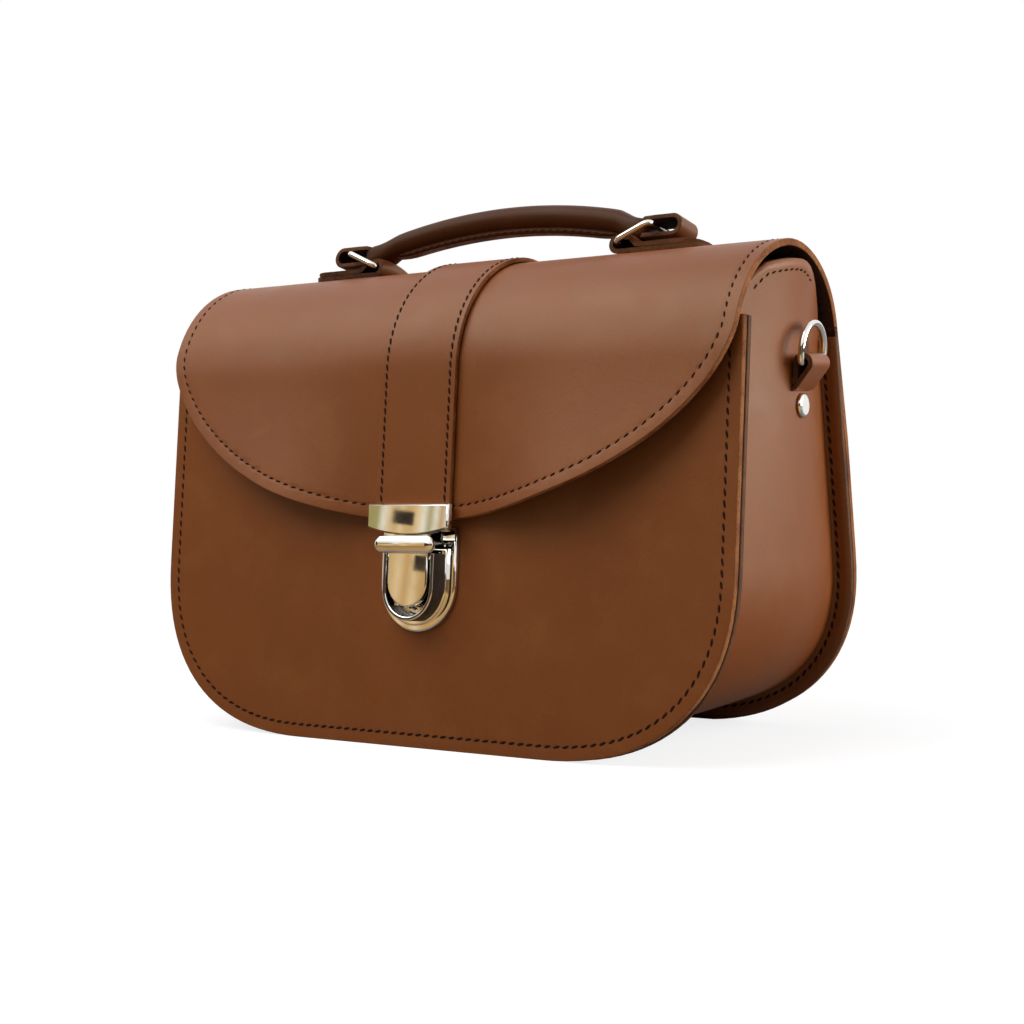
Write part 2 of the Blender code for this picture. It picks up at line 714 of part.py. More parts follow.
def build_lock_fixings():
    back = -PANEL_LEATHER - SEAT_GAP
    half = BACK_PLATE_WIDTH / 2
    corners = [(half, BACK_PLATE_LOW), (half, BACK_PLATE_HIGH), (-half, BACK_PLATE_HIGH), (-half, BACK_PLATE_LOW)]
    plate = outline_mesh("lock_back_plate", [corners], back - BACKING_METAL, back)
    plate = place("lock_back_plate", plate, STEEL, front_frame)
    head_top = back - BACKING_METAL - SEAT_GAP
    tip = CAVITY_FLOOR - SEAT_GAP
    for side, name in ((-1, "left"), (1, "right")):
        x = side * SCREW_SPACING / 2
        cut(
            plate,
            hole(
                "plate_screw_hole_" + name,
                SMALL_HOLE_RADIUS,
                front_frame,
                x,
                SCREW_HEIGHT,
                back - BACKING_METAL - OVERRUN,
                OVERRUN,
            ),
        )
        profile = [
            (0, tip),
            (SMALL_SHANK_RADIUS, tip),
            (SMALL_SHANK_RADIUS, head_top),
            (SCREW_HEAD_RADIUS, head_top),
            (SCREW_HEAD_RADIUS, head_top - SCREW_HEAD_HEIGHT),
            (0, head_top - SCREW_HEAD_HEIGHT),
        ]
        mesh = turned_mesh("lock_screw_" + name, profile)
        turn(place("lock_screw_" + name, mesh, STEEL, front_frame, (x, SCREW_HEIGHT, 0)))


def build_flap_plate():
    half = LOCK_PLATE_WIDTH / 2
    drop = LOCK_PLATE_SIDE_LOW - LOCK_PLATE_MIDDLE_LOW
    outline = [(half, LOCK_PLATE_TOP), (-half, LOCK_PLATE_TOP)]
    for step in range(ROUND_STEPS + 1):
        x = LOCK_PLATE_WIDTH * share(step, ROUND_STEPS) - half
        outline.append((x, LOCK_PLATE_MIDDLE_LOW + drop * (x / half) ** 2))
    back = STRAP_FACE + SEAT_GAP
    plate = place("flap_plate", outline_mesh("flap_plate", [outline], back, PLATE_FACE), CHROME, flap_front_frame)
    bevel = plate.modifiers.new("rim", "BEVEL")
    bevel.width = LOCK_PLATE_BEVEL
    bevel.segments = 1
    bevel.limit_method = "ANGLE"
    neck = box_mesh(
        "tongue_neck",
        (-TONGUE_WIDTH / 2, LOCK_PLATE_SIDE_LOW - TONGUE_METAL, TONGUE_STANDOFF),
        (TONGUE_WIDTH / 2, FLAP_EDGE_UP - SEAT_GAP, back + LOCK_PLATE_METAL / 2),
    )
    tongue = box_mesh(
        "tongue",
        (-TONGUE_WIDTH / 2 + SEAT_GAP, TONGUE_LOW, TONGUE_STANDOFF + SEAT_GAP),
        (TONGUE_WIDTH / 2 - SEAT_GAP, LOCK_PLATE_SIDE_LOW - SEAT_GAP, TONGUE_STANDOFF + TONGUE_METAL),
    )
    join(plate, place("tongue_neck", neck, None, flap_front_frame))
    join(plate, place("tongue", tongue, None, flap_front_frame))

    face = FLAP_STANDOFF - SEAT_GAP
    half = BACKING_WIDTH / 2
    corners = [(half, BACKING_LOW), (half, BACKING_HIGH), (-half, BACKING_HIGH), (-half, BACKING_LOW)]
    backing = outline_mesh("flap_plate_backing", [corners], face - BACKING_METAL, face)
    backing = place("flap_plate_backing", backing, STEEL, flap_front_frame)
    tip = back - SEAT_GAP
    head_top = face - BACKING_METAL - SEAT_GAP
    for side, name in ((-1, "left"), (1, "right")):
        x = side * RIVET_SPACING / 2
        cut(
            backing,
            hole("backing_hole_" + name, SMALL_HOLE_RADIUS, flap_front_frame, x, RIVET_HEIGHT, 0, PLATE_FACE),
        )
        profile = [
            (0, tip),
            (SMALL_SHANK_RADIUS, tip),
            (SMALL_SHANK_RADIUS, head_top),
            (SMALL_HEAD_RADIUS, head_top),
            (SMALL_HEAD_RADIUS, head_top - SMALL_HEAD_HEIGHT),
            (0, head_top - SMALL_HEAD_HEIGHT),
        ]
        mesh = turned_mesh("flap_plate_rivet_" + name, profile)
        turn(place("flap_plate_rivet_" + name, mesh, STEEL, flap_front_frame, (x, RIVET_HEIGHT, 0)))


handle_frame = frame(
    "handle_frame",
    flap_position(0, FLAP_TOP_RADIUS * (math.pi / 2 - BACK_LEAN - HANDLE_TILT), 0) - HINGE,
    (math.pi / 2 - HANDLE_TILT, 0, 0),
    flap_hinge,
)
handle_lift = frame("handle_lift", (0, 0, 0), (0, 0, 0), handle_frame)


def handle_line(x):
    """The height of the handle's centre line over the flap."""
    return HANDLE_RISE - HANDLE_ARCH * (x / HANDLE_ARCH_HALF) ** 2


def handle_points(half, steps):
    xs = [half * (2 * share(step, steps) - 1) for step in range(steps + 1)]
    return [(x, handle_line(x), 0) for x in xs]


def teardrop(hole_left, hole_right, rise, radius):
    """A long round-ended hole, its two end centres at hole_left and hole_right."""
    right = arc((hole_right, rise), radius, -math.pi / 2, math.pi / 2, ROUND_STEPS // 2)
    left = arc((hole_left, rise), radius, math.pi / 2, 3 * math.pi / 2, ROUND_STEPS // 2)
    return right + left


def build_handle():
    tube = wire_curve("handle_cover", handle_points(HANDLE_TUBE_HALF, ROUND_STEPS), HANDLE_RADIUS, False, 2)
    cover = place("handle_cover", mesh_of_curve(tube), LEATHER, handle_lift)
    xs = [HANDLE_FIN_HALF * (2 * share(step, ROUND_STEPS) - 1) for step in range(ROUND_STEPS + 1)]
    fin = [(x, handle_line(x) - HANDLE_CORE_RADIUS) for x in xs]
    fin += [(x, handle_line(x) - HANDLE_RADIUS - HANDLE_FIN) for x in reversed(xs)]
    fin_mesh = outline_mesh("handle_fin", [fin], -HANDLE_FIN_WIDTH / 2, HANDLE_FIN_WIDTH / 2)
    join(cover, place("handle_fin", fin_mesh, None, handle_lift))

    bore = wire_curve(
        "handle_bore",
        handle_points(HANDLE_CORE_HALF + SEAT_GAP, ROUND_STEPS),
        HANDLE_CORE_RADIUS + SEAT_GAP,
        False,
        2,
    )
    core = wire_curve("handle_core", handle_points(HANDLE_CORE_HALF, ROUND_STEPS), HANDLE_CORE_RADIUS, False, 2)
    slit_xs = [HANDLE_CORE_HALF * (2 * share(step, ROUND_STEPS) - 1) for step in range(ROUND_STEPS + 1)]
    slit = [(x, handle_line(x)) for x in slit_xs]
    slit += [(x, handle_line(x) - HANDLE_RADIUS - HANDLE_FIN - OVERRUN) for x in reversed(slit_xs)]
    slit_mesh = outline_mesh("handle_slit", [slit], -HANDLE_SLIT / 2, HANDLE_SLIT / 2)
    place("handle_core", mesh_of_curve(core), ROPE, handle_lift)

    radius = LOOP_HOLE_HEIGHT / 2
    outer = radius + CHAPE_LEATHER
    rise = RING_OUTER_BAR_RISE
    far = RING_OUTER_BAR_X + HANDLE_LOOP_OUTWARD
    near = RING_OUTER_BAR_X - HANDLE_LOOP_INWARD
    neck_x = HANDLE_TUBE_HALF - HANDLE_RADIUS
    for side, name in ((-1, "left"), (1, "right")):
        loop = arc((far, rise), outer, -math.pi / 2, math.pi / 2, ROUND_STEPS // 2)
        loop.append((neck_x, handle_line(neck_x) + HANDLE_RADIUS / 2))
        loop.append((neck_x, handle_line(neck_x) - HANDLE_RADIUS / 2))
        loop += arc((near, rise), outer, -3 * math.pi / 5, -math.pi / 2, 2)
        loops = [loop, teardrop(near, far, rise, radius)]
        loops = [[(side * x, y) for x, y in points] for points in loops]
        tab = outline_mesh("handle_loop_" + name, loops, -HANDLE_STRAP_WIDTH / 2, HANDLE_STRAP_WIDTH / 2)
        join(cover, place("handle_loop_" + name, tab, None, handle_lift))
    cut(cover, place("handle_bore", mesh_of_curve(bore), None, handle_lift))
    cut(cover, place("handle_slit", slit_mesh, None, handle_lift))


def bent_over_flap(mesh):
    """Bends a piece that was drawn flat on the handle's frame round the flap's arch."""
    bm = bmesh.new()
    bm.from_mesh(mesh)
    for quarter in (-1, 0, 1):
        height = quarter * HANDLE_STRAP_WIDTH / 4
        geometry = bm.verts[:] + bm.edges[:] + bm.faces[:]
        bmesh.ops.bisect_plane(bm, geom=geometry, plane_co=(0, 0, height), plane_no=(0, 0, 1))
    for vert in bm.verts:
        vert.co.y += math.sqrt(FLAP_TOP_RADIUS**2 - vert.co.z**2) - FLAP_TOP_RADIUS
    bm.to_mesh(mesh)
    bm.free()


def build_handle_chapes():
    radius = LOOP_HOLE_HEIGHT / 2
    rise = CHAPE_LOOP_RISE
    tail_top = SEAT_GAP + 2 * CHAPE_LEATHER
    slope_x = CHAPE_PIVOT_X + 2 * LOOP_OUTER
    for side, name in ((-1, "left"), (1, "right")):
        outline = arc((CHAPE_PIVOT_X, rise), LOOP_OUTER, math.pi / 2, 3 * math.pi / 2, ROUND_STEPS // 2)
        outline += [(CHAPE_END_X, SEAT_GAP), (CHAPE_END_X, tail_top), (slope_x, tail_top)]
        inner = arc((CHAPE_PIVOT_X, rise), radius, 0, 2 * math.pi, ROUND_STEPS)[:-1]
        loops = [[(side * x, y) for x, y in points] for points in (outline, inner)]
        half = HANDLE_STRAP_WIDTH / 2
        mesh = outline_mesh("handle_chape_" + name, loops, -half, half)
        bent_over_flap(mesh)
        chape = place("handle_chape_" + name, mesh, LEATHER, handle_frame)
        for way in (-1, 1):
            corner = [
                (CHAPE_END_X - CHAPE_POINT, way * (half + OVERRUN)),
                (CHAPE_END_X + OVERRUN, way * (half + OVERRUN)),
                (CHAPE_END_X + OVERRUN, way * (half - CHAPE_POINT)),
                (CHAPE_END_X, way * (half - CHAPE_POINT)),
                (CHAPE_END_X - CHAPE_POINT, way * half),
            ]
            corner = [(side * x, y) for x, y in corner]
            tag = name + ("_front" if way == 1 else "_back")
            clip = outline_mesh("chape_clip_" + tag, [corner], -LOOP_OUTER, 2 * LOOP_OUTER)
            cut(
                chape,
                place("chape_clip_" + tag, clip, None, handle_frame, (0, 0, 0), (-math.pi / 2, 0, 0)),
            )


def ring_points(length, half_width, corner):
    """A rectangle with round corners, its near bar on the local Z axis and its far bar a length along X."""
    centres = [
        (length - corner, half_width - corner, 0),
        (corner, half_width - corner, math.pi / 2),
        (corner, corner - half_width, math.pi),
        (length - corner, corner - half_width, 3 * math.pi / 2),
    ]
    points = []
    for x, z, start in centres:
        points += [(a, 0, b) for a, b in arc((x, z), corner, start, start + math.pi / 2, 3)]
    return points


def build_handle_rings():
    for side, name in ((-1, "left"), (1, "right")):
        pivot = frame(
            "handle_ring_pivot_" + name,
            (side * CHAPE_PIVOT_X, CHAPE_PIVOT_RISE, 0),
            (0, 0, side * RING_REST),
            handle_frame,
        )
        points = [
            (side * x, y, z) for x, y, z in ring_points(RING_LENGTH, RING_HALF_WIDTH, RING_CORNER)
        ]
        curve = wire_curve("handle_ring_" + name, points, RING_WIRE_RADIUS, True)
        place("handle_ring_" + name, mesh_of_curve(curve), CHROME, pivot)


def wall_at(across, height):
    """A point of the gusset wall's outer face and how far the wall turns to the back there, at a share across."""
    front, back = gusset_depths(height)
    x = PANEL_WIDTH / 2 - FLANGE + GUSSET_BOW * math.sin(math.pi * across)
    slope = GUSSET_BOW * math.pi / (back - front) * math.cos(math.pi * across)
    turned = math.atan(-slope)
    return x + GUSSET_LEATHER / 2 / math.cos(turned), front + (back - front) * across, turned


def side_ring_points():
    """A D: its straight bar on the local Z axis, its legs and its round end along Y."""
    half = SIDE_RING_HALF
    corner = SIDE_RING_CORNER
    points = arc((corner, half - corner), corner, math.pi, math.pi / 2, 2)
    bow_height = SIDE_RING_HEIGHT - SIDE_RING_LEG
    for step in range(ROUND_STEPS + 1):
        turned = math.pi * share(step, ROUND_STEPS)
        points.append((SIDE_RING_LEG + bow_height * math.sin(turned), half * math.cos(turned)))
    points += arc((corner, corner - half), corner, -math.pi / 2, -math.pi, 2)
    return [(0, up, across) for up, across in points]


def build_side_fittings(gusset):
    slit_height = BAG_HEIGHT * SLIT_HEIGHT_SHARE
    x, y, turned = wall_at(SIDE_FITTING_SHARE, slit_height)
    leather = SIDE_CHAPE_LEATHER
    inside = -GUSSET_LEATHER - WALL_GAP
    half = SIDE_CHAPE_WIDTH / 2
    bar = (SIDE_RING_AXIS_OUT, SIDE_RING_AXIS_UP)
    outer = SIDE_LOOP_HOLE_RADIUS + leather
    # The loop is a drop: both its layers keep the leather's thickness down to the slit
    tip_out = bar[0] - SIDE_LOOP_HOLE_RADIUS
    slope = (bar[1] + leather) / (bar[0] + outer - SEAT_GAP - leather)
    for side, name in ((-1, "left"), (1, "right")):
        heading = turned if side == 1 else math.pi - turned
        wall = frame(
            "side_frame_" + name, (side * x, y, slit_height), (math.pi / 2, 0, heading)
        )
        outline = [
            (inside, -SIDE_TAIL_DROP),
            (inside, -leather),
            (SEAT_GAP + leather, -leather),
        ]
        outline += arc(bar, outer, 0, math.pi, ROUND_STEPS // 2)
        outline += [(bar[0] - outer, leather), (inside - 2 * leather, leather)]
        outline += [(inside - 2 * leather, -SIDE_TAIL_DROP)]
        inner = arc(bar, SIDE_LOOP_HOLE_RADIUS, 0, math.pi, ROUND_STEPS // 2)
        inner.append((tip_out, -leather + slope * (tip_out - SEAT_GAP - leather) + leather * math.hypot(1, slope)))
        mesh = outline_mesh("side_chape_" + name, [outline, inner], -half, half)
        chape = place("side_chape_" + name, mesh, LEATHER, wall)
        slit = box_mesh(
            "side_slit_" + name,
            (inside - OVERRUN, -leather - SEAT_GAP, -half - SEAT_GAP),
            (OVERRUN, leather + SEAT_GAP, half + SEAT_GAP),
        )
        cut(gusset, place("side_slit_" + name, slit, None, wall))
        tail_back = inside - 2 * leather
        rivet_hole = place(
            "side_rivet_hole_" + name,
            cylinder_mesh("side_rivet_hole", RIVET_SHANK_RADIUS + SEAT_GAP, tail_back - OVERRUN, OVERRUN),
            None,
            wall,
            (0, -RIVET_DROP, 0),
            (0, math.pi / 2, 0),
        )
        cut(gusset, rivet_hole)
        cut(chape, rivet_hole)
        burr_top = tail_back - SEAT_GAP
        profile = [(0, SEAT_GAP + RIVET_HEAD_HEIGHT)]
        for step in range(1, ROUND_STEPS // 4 + 1):
            angle = math.pi / 2 * share(step, ROUND_STEPS // 4)
            profile.append((RIVET_HEAD_RADIUS * math.sin(angle), SEAT_GAP + RIVET_HEAD_HEIGHT * math.cos(angle)))
        profile += [
            (RIVET_SHANK_RADIUS, SEAT_GAP),
            (RIVET_SHANK_RADIUS, burr_top),
            (RIVET_BURR_RADIUS, burr_top),
            (RIVET_BURR_RADIUS, burr_top - RIVET_BURR_HEIGHT),
            (0, burr_top - RIVET_BURR_HEIGHT),
        ]
        rivet = place(
            "side_rivet_" + name,
            turned_mesh("side_rivet_" + name, profile),
            CHROME,
            wall,
            (0, -RIVET_DROP, 0),
            (0, math.pi / 2, 0),
        )
        turn(rivet)
        pivot = frame("side_ring_pivot_" + name, (*bar, 0), (0, 0, SIDE_RING_TILT), wall)
        curve = wire_curve("side_ring_" + name, side_ring_points(), SIDE_RING_WIRE_RADIUS, True)
        place("side_ring_" + name, mesh_of_curve(curve), CHROME, pivot)


build_panels()
gusset_piece = build_gusset()
build_flap()
build_lock_case()
build_lock_slide()
build_lock_fixings()
build_flap_plate()
build_handle()
build_handle_chapes()
build_handle_rings()
build_side_fittings(gusset_piece)
bpy.context.view_layer.update()
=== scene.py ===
"""A small saddle-leather crossbody bag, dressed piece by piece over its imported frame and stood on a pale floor."""

import math

import bmesh
import bpy
from mathutils import Matrix, Vector


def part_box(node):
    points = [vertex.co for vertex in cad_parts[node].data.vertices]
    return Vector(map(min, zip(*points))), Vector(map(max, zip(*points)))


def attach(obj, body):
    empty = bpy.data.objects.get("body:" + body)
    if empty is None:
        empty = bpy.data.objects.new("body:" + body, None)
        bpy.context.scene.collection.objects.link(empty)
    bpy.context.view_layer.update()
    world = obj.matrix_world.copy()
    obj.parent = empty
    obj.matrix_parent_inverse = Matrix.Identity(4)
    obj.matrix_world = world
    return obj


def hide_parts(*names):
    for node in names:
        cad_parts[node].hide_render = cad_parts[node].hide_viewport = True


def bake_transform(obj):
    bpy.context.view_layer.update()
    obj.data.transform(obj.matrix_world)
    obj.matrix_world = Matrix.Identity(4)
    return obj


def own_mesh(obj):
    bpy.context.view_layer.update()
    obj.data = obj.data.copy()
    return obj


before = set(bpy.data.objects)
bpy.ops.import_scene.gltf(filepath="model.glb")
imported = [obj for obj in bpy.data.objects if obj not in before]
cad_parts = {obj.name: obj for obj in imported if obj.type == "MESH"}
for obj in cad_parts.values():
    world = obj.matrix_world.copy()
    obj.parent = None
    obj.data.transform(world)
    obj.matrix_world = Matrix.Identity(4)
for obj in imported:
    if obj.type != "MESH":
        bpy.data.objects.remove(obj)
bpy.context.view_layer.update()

# ---- Front panel ----------------------------------------------------------------------------------------------
# A board of smooth saddle leather with big rounded lower corners, leaning back a little. It is cut with a knife and
# its edges are left raw. A line is pressed along the edge and sewn through the gusset's flange with brown thread.
PANEL_LEATHER = 0.0022
FRONT_LEAN = math.radians(7.5)
BACK_LEAN = math.radians(5.5)
PANEL_HALF = 0.113
CORNER_RUN = 0.066
CORNER_RISE = 0.058
CORNER_POWER = 2.4
FRONT_TOP = 0.131
EDGE_SOFTNESS = 0.00035
SEAM_INSET = 0.0042
SEAM_PRESS = 0.0007
SEAM_DEPTH = 0.00022
front_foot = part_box("front_panel")[0][1]
back_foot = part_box("back_panel")[1][1]

SADDLE = (0.236, 0.0610, 0.0105, 1)
SADDLE_DEEP = (0.170, 0.0400, 0.0065, 1)
SADDLE_WORN = (0.305, 0.0990, 0.0240, 1)
GLOSS_TINT = (1, 0.86, 0.62, 1)
RAW_EDGE = (0.46, 0.185, 0.065, 1)
RAW_EDGE_DARK = (0.17, 0.050, 0.016, 1)
FLESH = (0.050, 0.018, 0.009, 1)
FLESH_PALE = (0.095, 0.037, 0.019, 1)
THREAD = (0.017, 0.0065, 0.0050, 1)
THREAD_WAX = (0.050, 0.021, 0.014, 1)


def on_front(across, up, off):
    """A point over the front panel: across it, up it and out from its face."""
    sine, cosine = math.sin(FRONT_LEAN), math.cos(FRONT_LEAN)
    return Vector((across, front_foot + up * sine - off * cosine, up * cosine + off * sine))


def both_halves(side, inset):
    """An outline from its right half, which ends in the middle: moved sideways by the inset, then mirrored."""
    moved = []
    for index, point in enumerate(side):
        along = (side[min(index + 1, len(side) - 1)] - side[max(index - 1, 0)]).normalized()
        moved.append(point + inset * Vector((along.y, -along.x)))
    return moved + [Vector((-p.x, p.y)) for p in reversed(moved[:-1])]


def panel_line(inset, top, top_half=PANEL_HALF):
    """The panel's outline from its top right corner down round the bottom to its top left, moved inwards."""
    side = [Vector((top_half, top)), Vector((PANEL_HALF, (top + CORNER_RISE) / 2))]
    steps = 26
    for step in range(steps + 1):
        turned = math.pi / 2 * step / steps
        across = PANEL_HALF - CORNER_RUN + CORNER_RUN * max(math.cos(turned), 0) ** (2 / CORNER_POWER)
        side.append(Vector((across, CORNER_RISE * (1 - math.sin(turned) ** (2 / CORNER_POWER)))))
    return both_halves(side + [Vector((0, 0))], inset)


def set_inputs(tree, made, values):
    """Sets a shader node's inputs by name or number, each to a value or to another node's output."""
    for label, value in values.items():
        if isinstance(value, bpy.types.NodeSocket):
            tree.links.new(value, made.inputs[label])
        else:
            made.inputs[label].default_value = value
    return made


def add_node(tree, kind, values=None, **settings):
    """A new shader node with its settings and its inputs."""
    made = tree.nodes.new("ShaderNode" + kind)
    for label, value in settings.items():
        setattr(made, label, value)
    return set_inputs(tree, made, values or {})


def pattern(name, **colours):
    """An empty shader node group, the colours that it takes and the place on the object that it varies with."""
    group = bpy.data.node_groups.new(name, "ShaderNodeTree")
    for label, value in colours.items():
        group.interface.new_socket(label, in_out="INPUT", socket_type="NodeSocketColor").default_value = value
    return group, group.nodes.new("NodeGroupInput").outputs, add_node(group, "TexCoord").outputs["Object"]


def give(group, **results):
    """Ends a group with what it gives to the material that uses it: a colour, a roughness, a height."""
    for label in results:
        kind = "NodeSocketColor" if label == "Colour" else "NodeSocketFloat"
        group.interface.new_socket(label, in_out="OUTPUT", socket_type=kind)
    set_inputs(group, group.nodes.new("NodeGroupOutput"), results)


def noise(group, place, scale, detail, **more):
    return add_node(group, "TexNoise", {"Vector": place, "Scale": scale, "Detail": detail, **more}).outputs["Fac"]


def spread(group, value, low, high, out_low=0.0, out_high=1.0):
    """A value stretched from one span to another, and held inside it."""
    spans = {"Value": value, "From Min": low, "From Max": high, "To Min": out_low, "To Max": out_high}
    return add_node(group, "MapRange", spans).outputs["Result"]


def dye(group, colour, other, mask, low, high, most=1.0):
    """A colour that turns into another, at most by a share, where a mask rises from one level to the next."""
    share = spread(group, mask, low, high, 0.0, most)
    return add_node(group, "Mix", {0: share, 6: colour, 7: other}, data_type="RGBA").outputs[2]


def sum_of(group, first, second, share):
    return add_node(group, "Math", {0: second, 1: share, 2: first}, operation="MULTIPLY_ADD").outputs["Value"]


# Polished grain side: faint blotches where the dye took deeper, fine pores and a few paler rubs
grain_side, tints, place = pattern("polished grain", Leather=SADDLE, Deep=SADDLE_DEEP, Worn=SADDLE_WORN)
blotch = noise(grain_side, place, 26, 3.0)
speckle = noise(grain_side, place, 1100, 4.0, Roughness=0.65)
rub = noise(grain_side, place, 75, 5.0, Distortion=0.6)
pores = add_node(grain_side, "TexVoronoi", {"Vector": place, "Scale": 1500}).outputs["Distance"]
colour = dye(grain_side, tints["Leather"], tints["Deep"], blotch, 0.35, 0.75, 0.42)
colour = dye(grain_side, colour, tints["Worn"], rub, 0.52, 0.80, 0.34)
colour = dye(grain_side, colour, tints["Deep"], speckle, 0.50, 0.72, 0.35)
gloss = sum_of(grain_side, spread(grain_side, rub, 0.30, 0.70, 0.39, 0.47), speckle, 0.06)
give(grain_side, Colour=colour, Roughness=gloss, Height=sum_of(grain_side, speckle, pores, 0.45))

# Raw cut edge: pale tan fibres in layers, darker where handling has closed them
cut_edge, tints, place = pattern("raw edge fibres", Fibre=RAW_EDGE, Closed=RAW_EDGE_DARK)
fibres = noise(cut_edge, place, 1300, 5.0, Roughness=0.7)
mixed = sum_of(cut_edge, noise(cut_edge, place, 120, 3.0), fibres, 0.9)
give(cut_edge, Colour=dye(cut_edge, tints["Fibre"], tints["Closed"], mixed, 0.62, 1.15), Height=fibres)

# Flesh side: the inner face of the hide, napped and dull
flesh_side, tints, place = pattern("napped flesh side", Nap=FLESH, Brushed=FLESH_PALE)
nap = noise(flesh_side, place, 900, 6.0, Roughness=0.75)
mixed = sum_of(flesh_side, nap, noise(flesh_side, place, 60, 4.0, Distortion=1.2), 0.8)
give(flesh_side, Colour=dye(flesh_side, tints["Nap"], tints["Brushed"], mixed, 0.65, 1.15), Height=nap)


def finish(name, group, bump, depth, roughness=None, specular=0.5, metallic=0.0, tint=GLOSS_TINT, **colours):
    """A material that takes its colour and its surface from a group, with its own plain gloss values."""
    made = bpy.data.materials.new(name)
    made.use_nodes = True
    tree = made.node_tree
    given = add_node(tree, "Group", colours, node_tree=group).outputs
    relief = add_node(tree, "Bump", {"Strength": bump, "Distance": depth, "Height": given["Height"]})
    set_inputs(tree, tree.nodes["Principled BSDF"], {
        "Base Color": given["Colour"], "Roughness": given["Roughness"] if roughness is None else roughness,
        "Specular IOR Level": specular, "Metallic": metallic, "Specular Tint": tint,
        "Normal": relief.outputs["Normal"],
    })
    return made


saddle_leather = finish("saddle_leather", grain_side, 0.22, 0.00012, specular=0.46)
raw_edge = finish("raw_leather_edge", cut_edge, 0.6, 0.0002, roughness=0.8, specular=0.25)
flesh_leather = finish("flesh_side", flesh_side, 0.7, 0.0003, roughness=0.95, specular=0.15)
THREE_SIDES = (saddle_leather, raw_edge, flesh_leather)


def leather_blank(outline, thickness, seam_inset):
    """Leather cut to an outline: its face at height 0, soft edges, and a pressed line on both sides for the thread."""
    bm = bmesh.new()
    rim = bmesh.ops.create_circle(bm, cap_ends=True, segments=len(outline), radius=1)["verts"]
    for vert, point in zip(rim, outline):
        vert.co = (point[0], point[1], 0)
    raised = bmesh.ops.extrude_face_region(bm, geom=bm.faces[:])
    under = [part for part in raised["geom"] if isinstance(part, bmesh.types.BMVert)]
    bmesh.ops.translate(bm, verts=under, vec=(0, 0, -thickness))
    bmesh.ops.recalc_face_normals(bm, faces=bm.faces[:])
    for side in bm.faces:
        side.material_index = 1 if abs(side.normal.z) < 0.5 else (0 if side.normal.z > 0 else 2)
    rims = [edge for edge in bm.edges if len({face.material_index for face in edge.link_faces}) == 2]
    bmesh.ops.bevel(
        bm, geom=rims, offset=EDGE_SOFTNESS, offset_type="OFFSET", segments=3, profile=0.5, affect="EDGES",
        clamp_overlap=True, material=-1,
    )
    for way in (1, -1):
        face = max(bm.faces, key=lambda f: way * f.normal.z * f.calc_area())
        for inwards, press in (
            (seam_inset - EDGE_SOFTNESS - SEAM_PRESS, 0), (SEAM_PRESS, -SEAM_DEPTH), (SEAM_PRESS, SEAM_DEPTH),
        ):
            bmesh.ops.inset_region(
                bm, faces=[face], thickness=inwards, depth=press, use_even_offset=True, use_boundary=True
            )
    return bm


def cut_through(bm, axis, where, **cleared):
    """Cuts a mesh in a plane across an axis."""
    direction = Vector([axis == number for number in range(3)])
    return bmesh.ops.bisect_plane(
        bm, geom=bm.verts[:] + bm.edges[:] + bm.faces[:], plane_co=direction * where, plane_no=direction, **cleared
    )


def score(bm, axis, low, high, step):
    """Cuts a blank across at equal distances, so that it can bend there."""
    count = max(round((high - low) / step), 1)
    for index in range(1, count):
        cut_through(bm, axis, low + (high - low) * index / count)


def show(name, bm, body, materials, *nodes, mapping=None, slot="saddle_leather", even=True):
    """Puts a blank on the bag: formed by a mapping, riding on a body, and standing for its CAD nodes."""
    for vert in bm.verts if mapping else ():
        vert.co = mapping(*vert.co)
    mesh = bpy.data.meshes.new(name)
    bm.to_mesh(mesh)
    bm.free()
    for made in materials:
        mesh.materials.append(made)
    piece = bpy.data.objects.new(name, mesh)
    bpy.context.scene.collection.objects.link(piece)
    mesh.shade_smooth()
    if even:
        flat_faces = piece.modifiers.new("flat_faces", "WEIGHTED_NORMAL")
        flat_faces.weight = 100
        flat_faces.keep_sharp = True
    if body:
        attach(piece, body)
    if nodes:
        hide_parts(*nodes)
    return piece


STITCH_PITCH = 0.0033
STITCH_HALF = Vector((0.00044, 0.00036, 0.00122))
STITCH_SLANT = math.radians(14)
PROBE = 0.0002

thread_twist, tints, place = pattern("waxed thread", Thread=THREAD, Wax=THREAD_WAX)
plies = noise(thread_twist, place, 2600, 3.0)
give(thread_twist, Colour=dye(thread_twist, tints["Thread"], tints["Wax"], plies, 0.4, 0.75), Height=plies)
thread = finish("waxed_thread", thread_twist, 0.5, 0.0001, roughness=0.8, specular=0.1)


def lengths_along(points):
    """How far along a line each of its points lies."""
    lengths = [0.0]
    for a, b in zip(points, points[1:]):
        lengths.append(lengths[-1] + (b - a).length)
    return lengths


def even_steps(line, pitch):
    """Points a stitch apart along a line, each with the direction that the line runs in there."""
    line = [Vector(point) for point in line]
    lengths = lengths_along(line)
    count = max(round(lengths[-1] / pitch), 1)
    index = 0
    for step in range(count):
        wanted = (step + 0.5) * lengths[-1] / count
        while lengths[index + 1] < wanted:
            index += 1
        along = (line[index + 1] - line[index]).normalized()
        yield line[index] + along * (wanted - lengths[index]), along


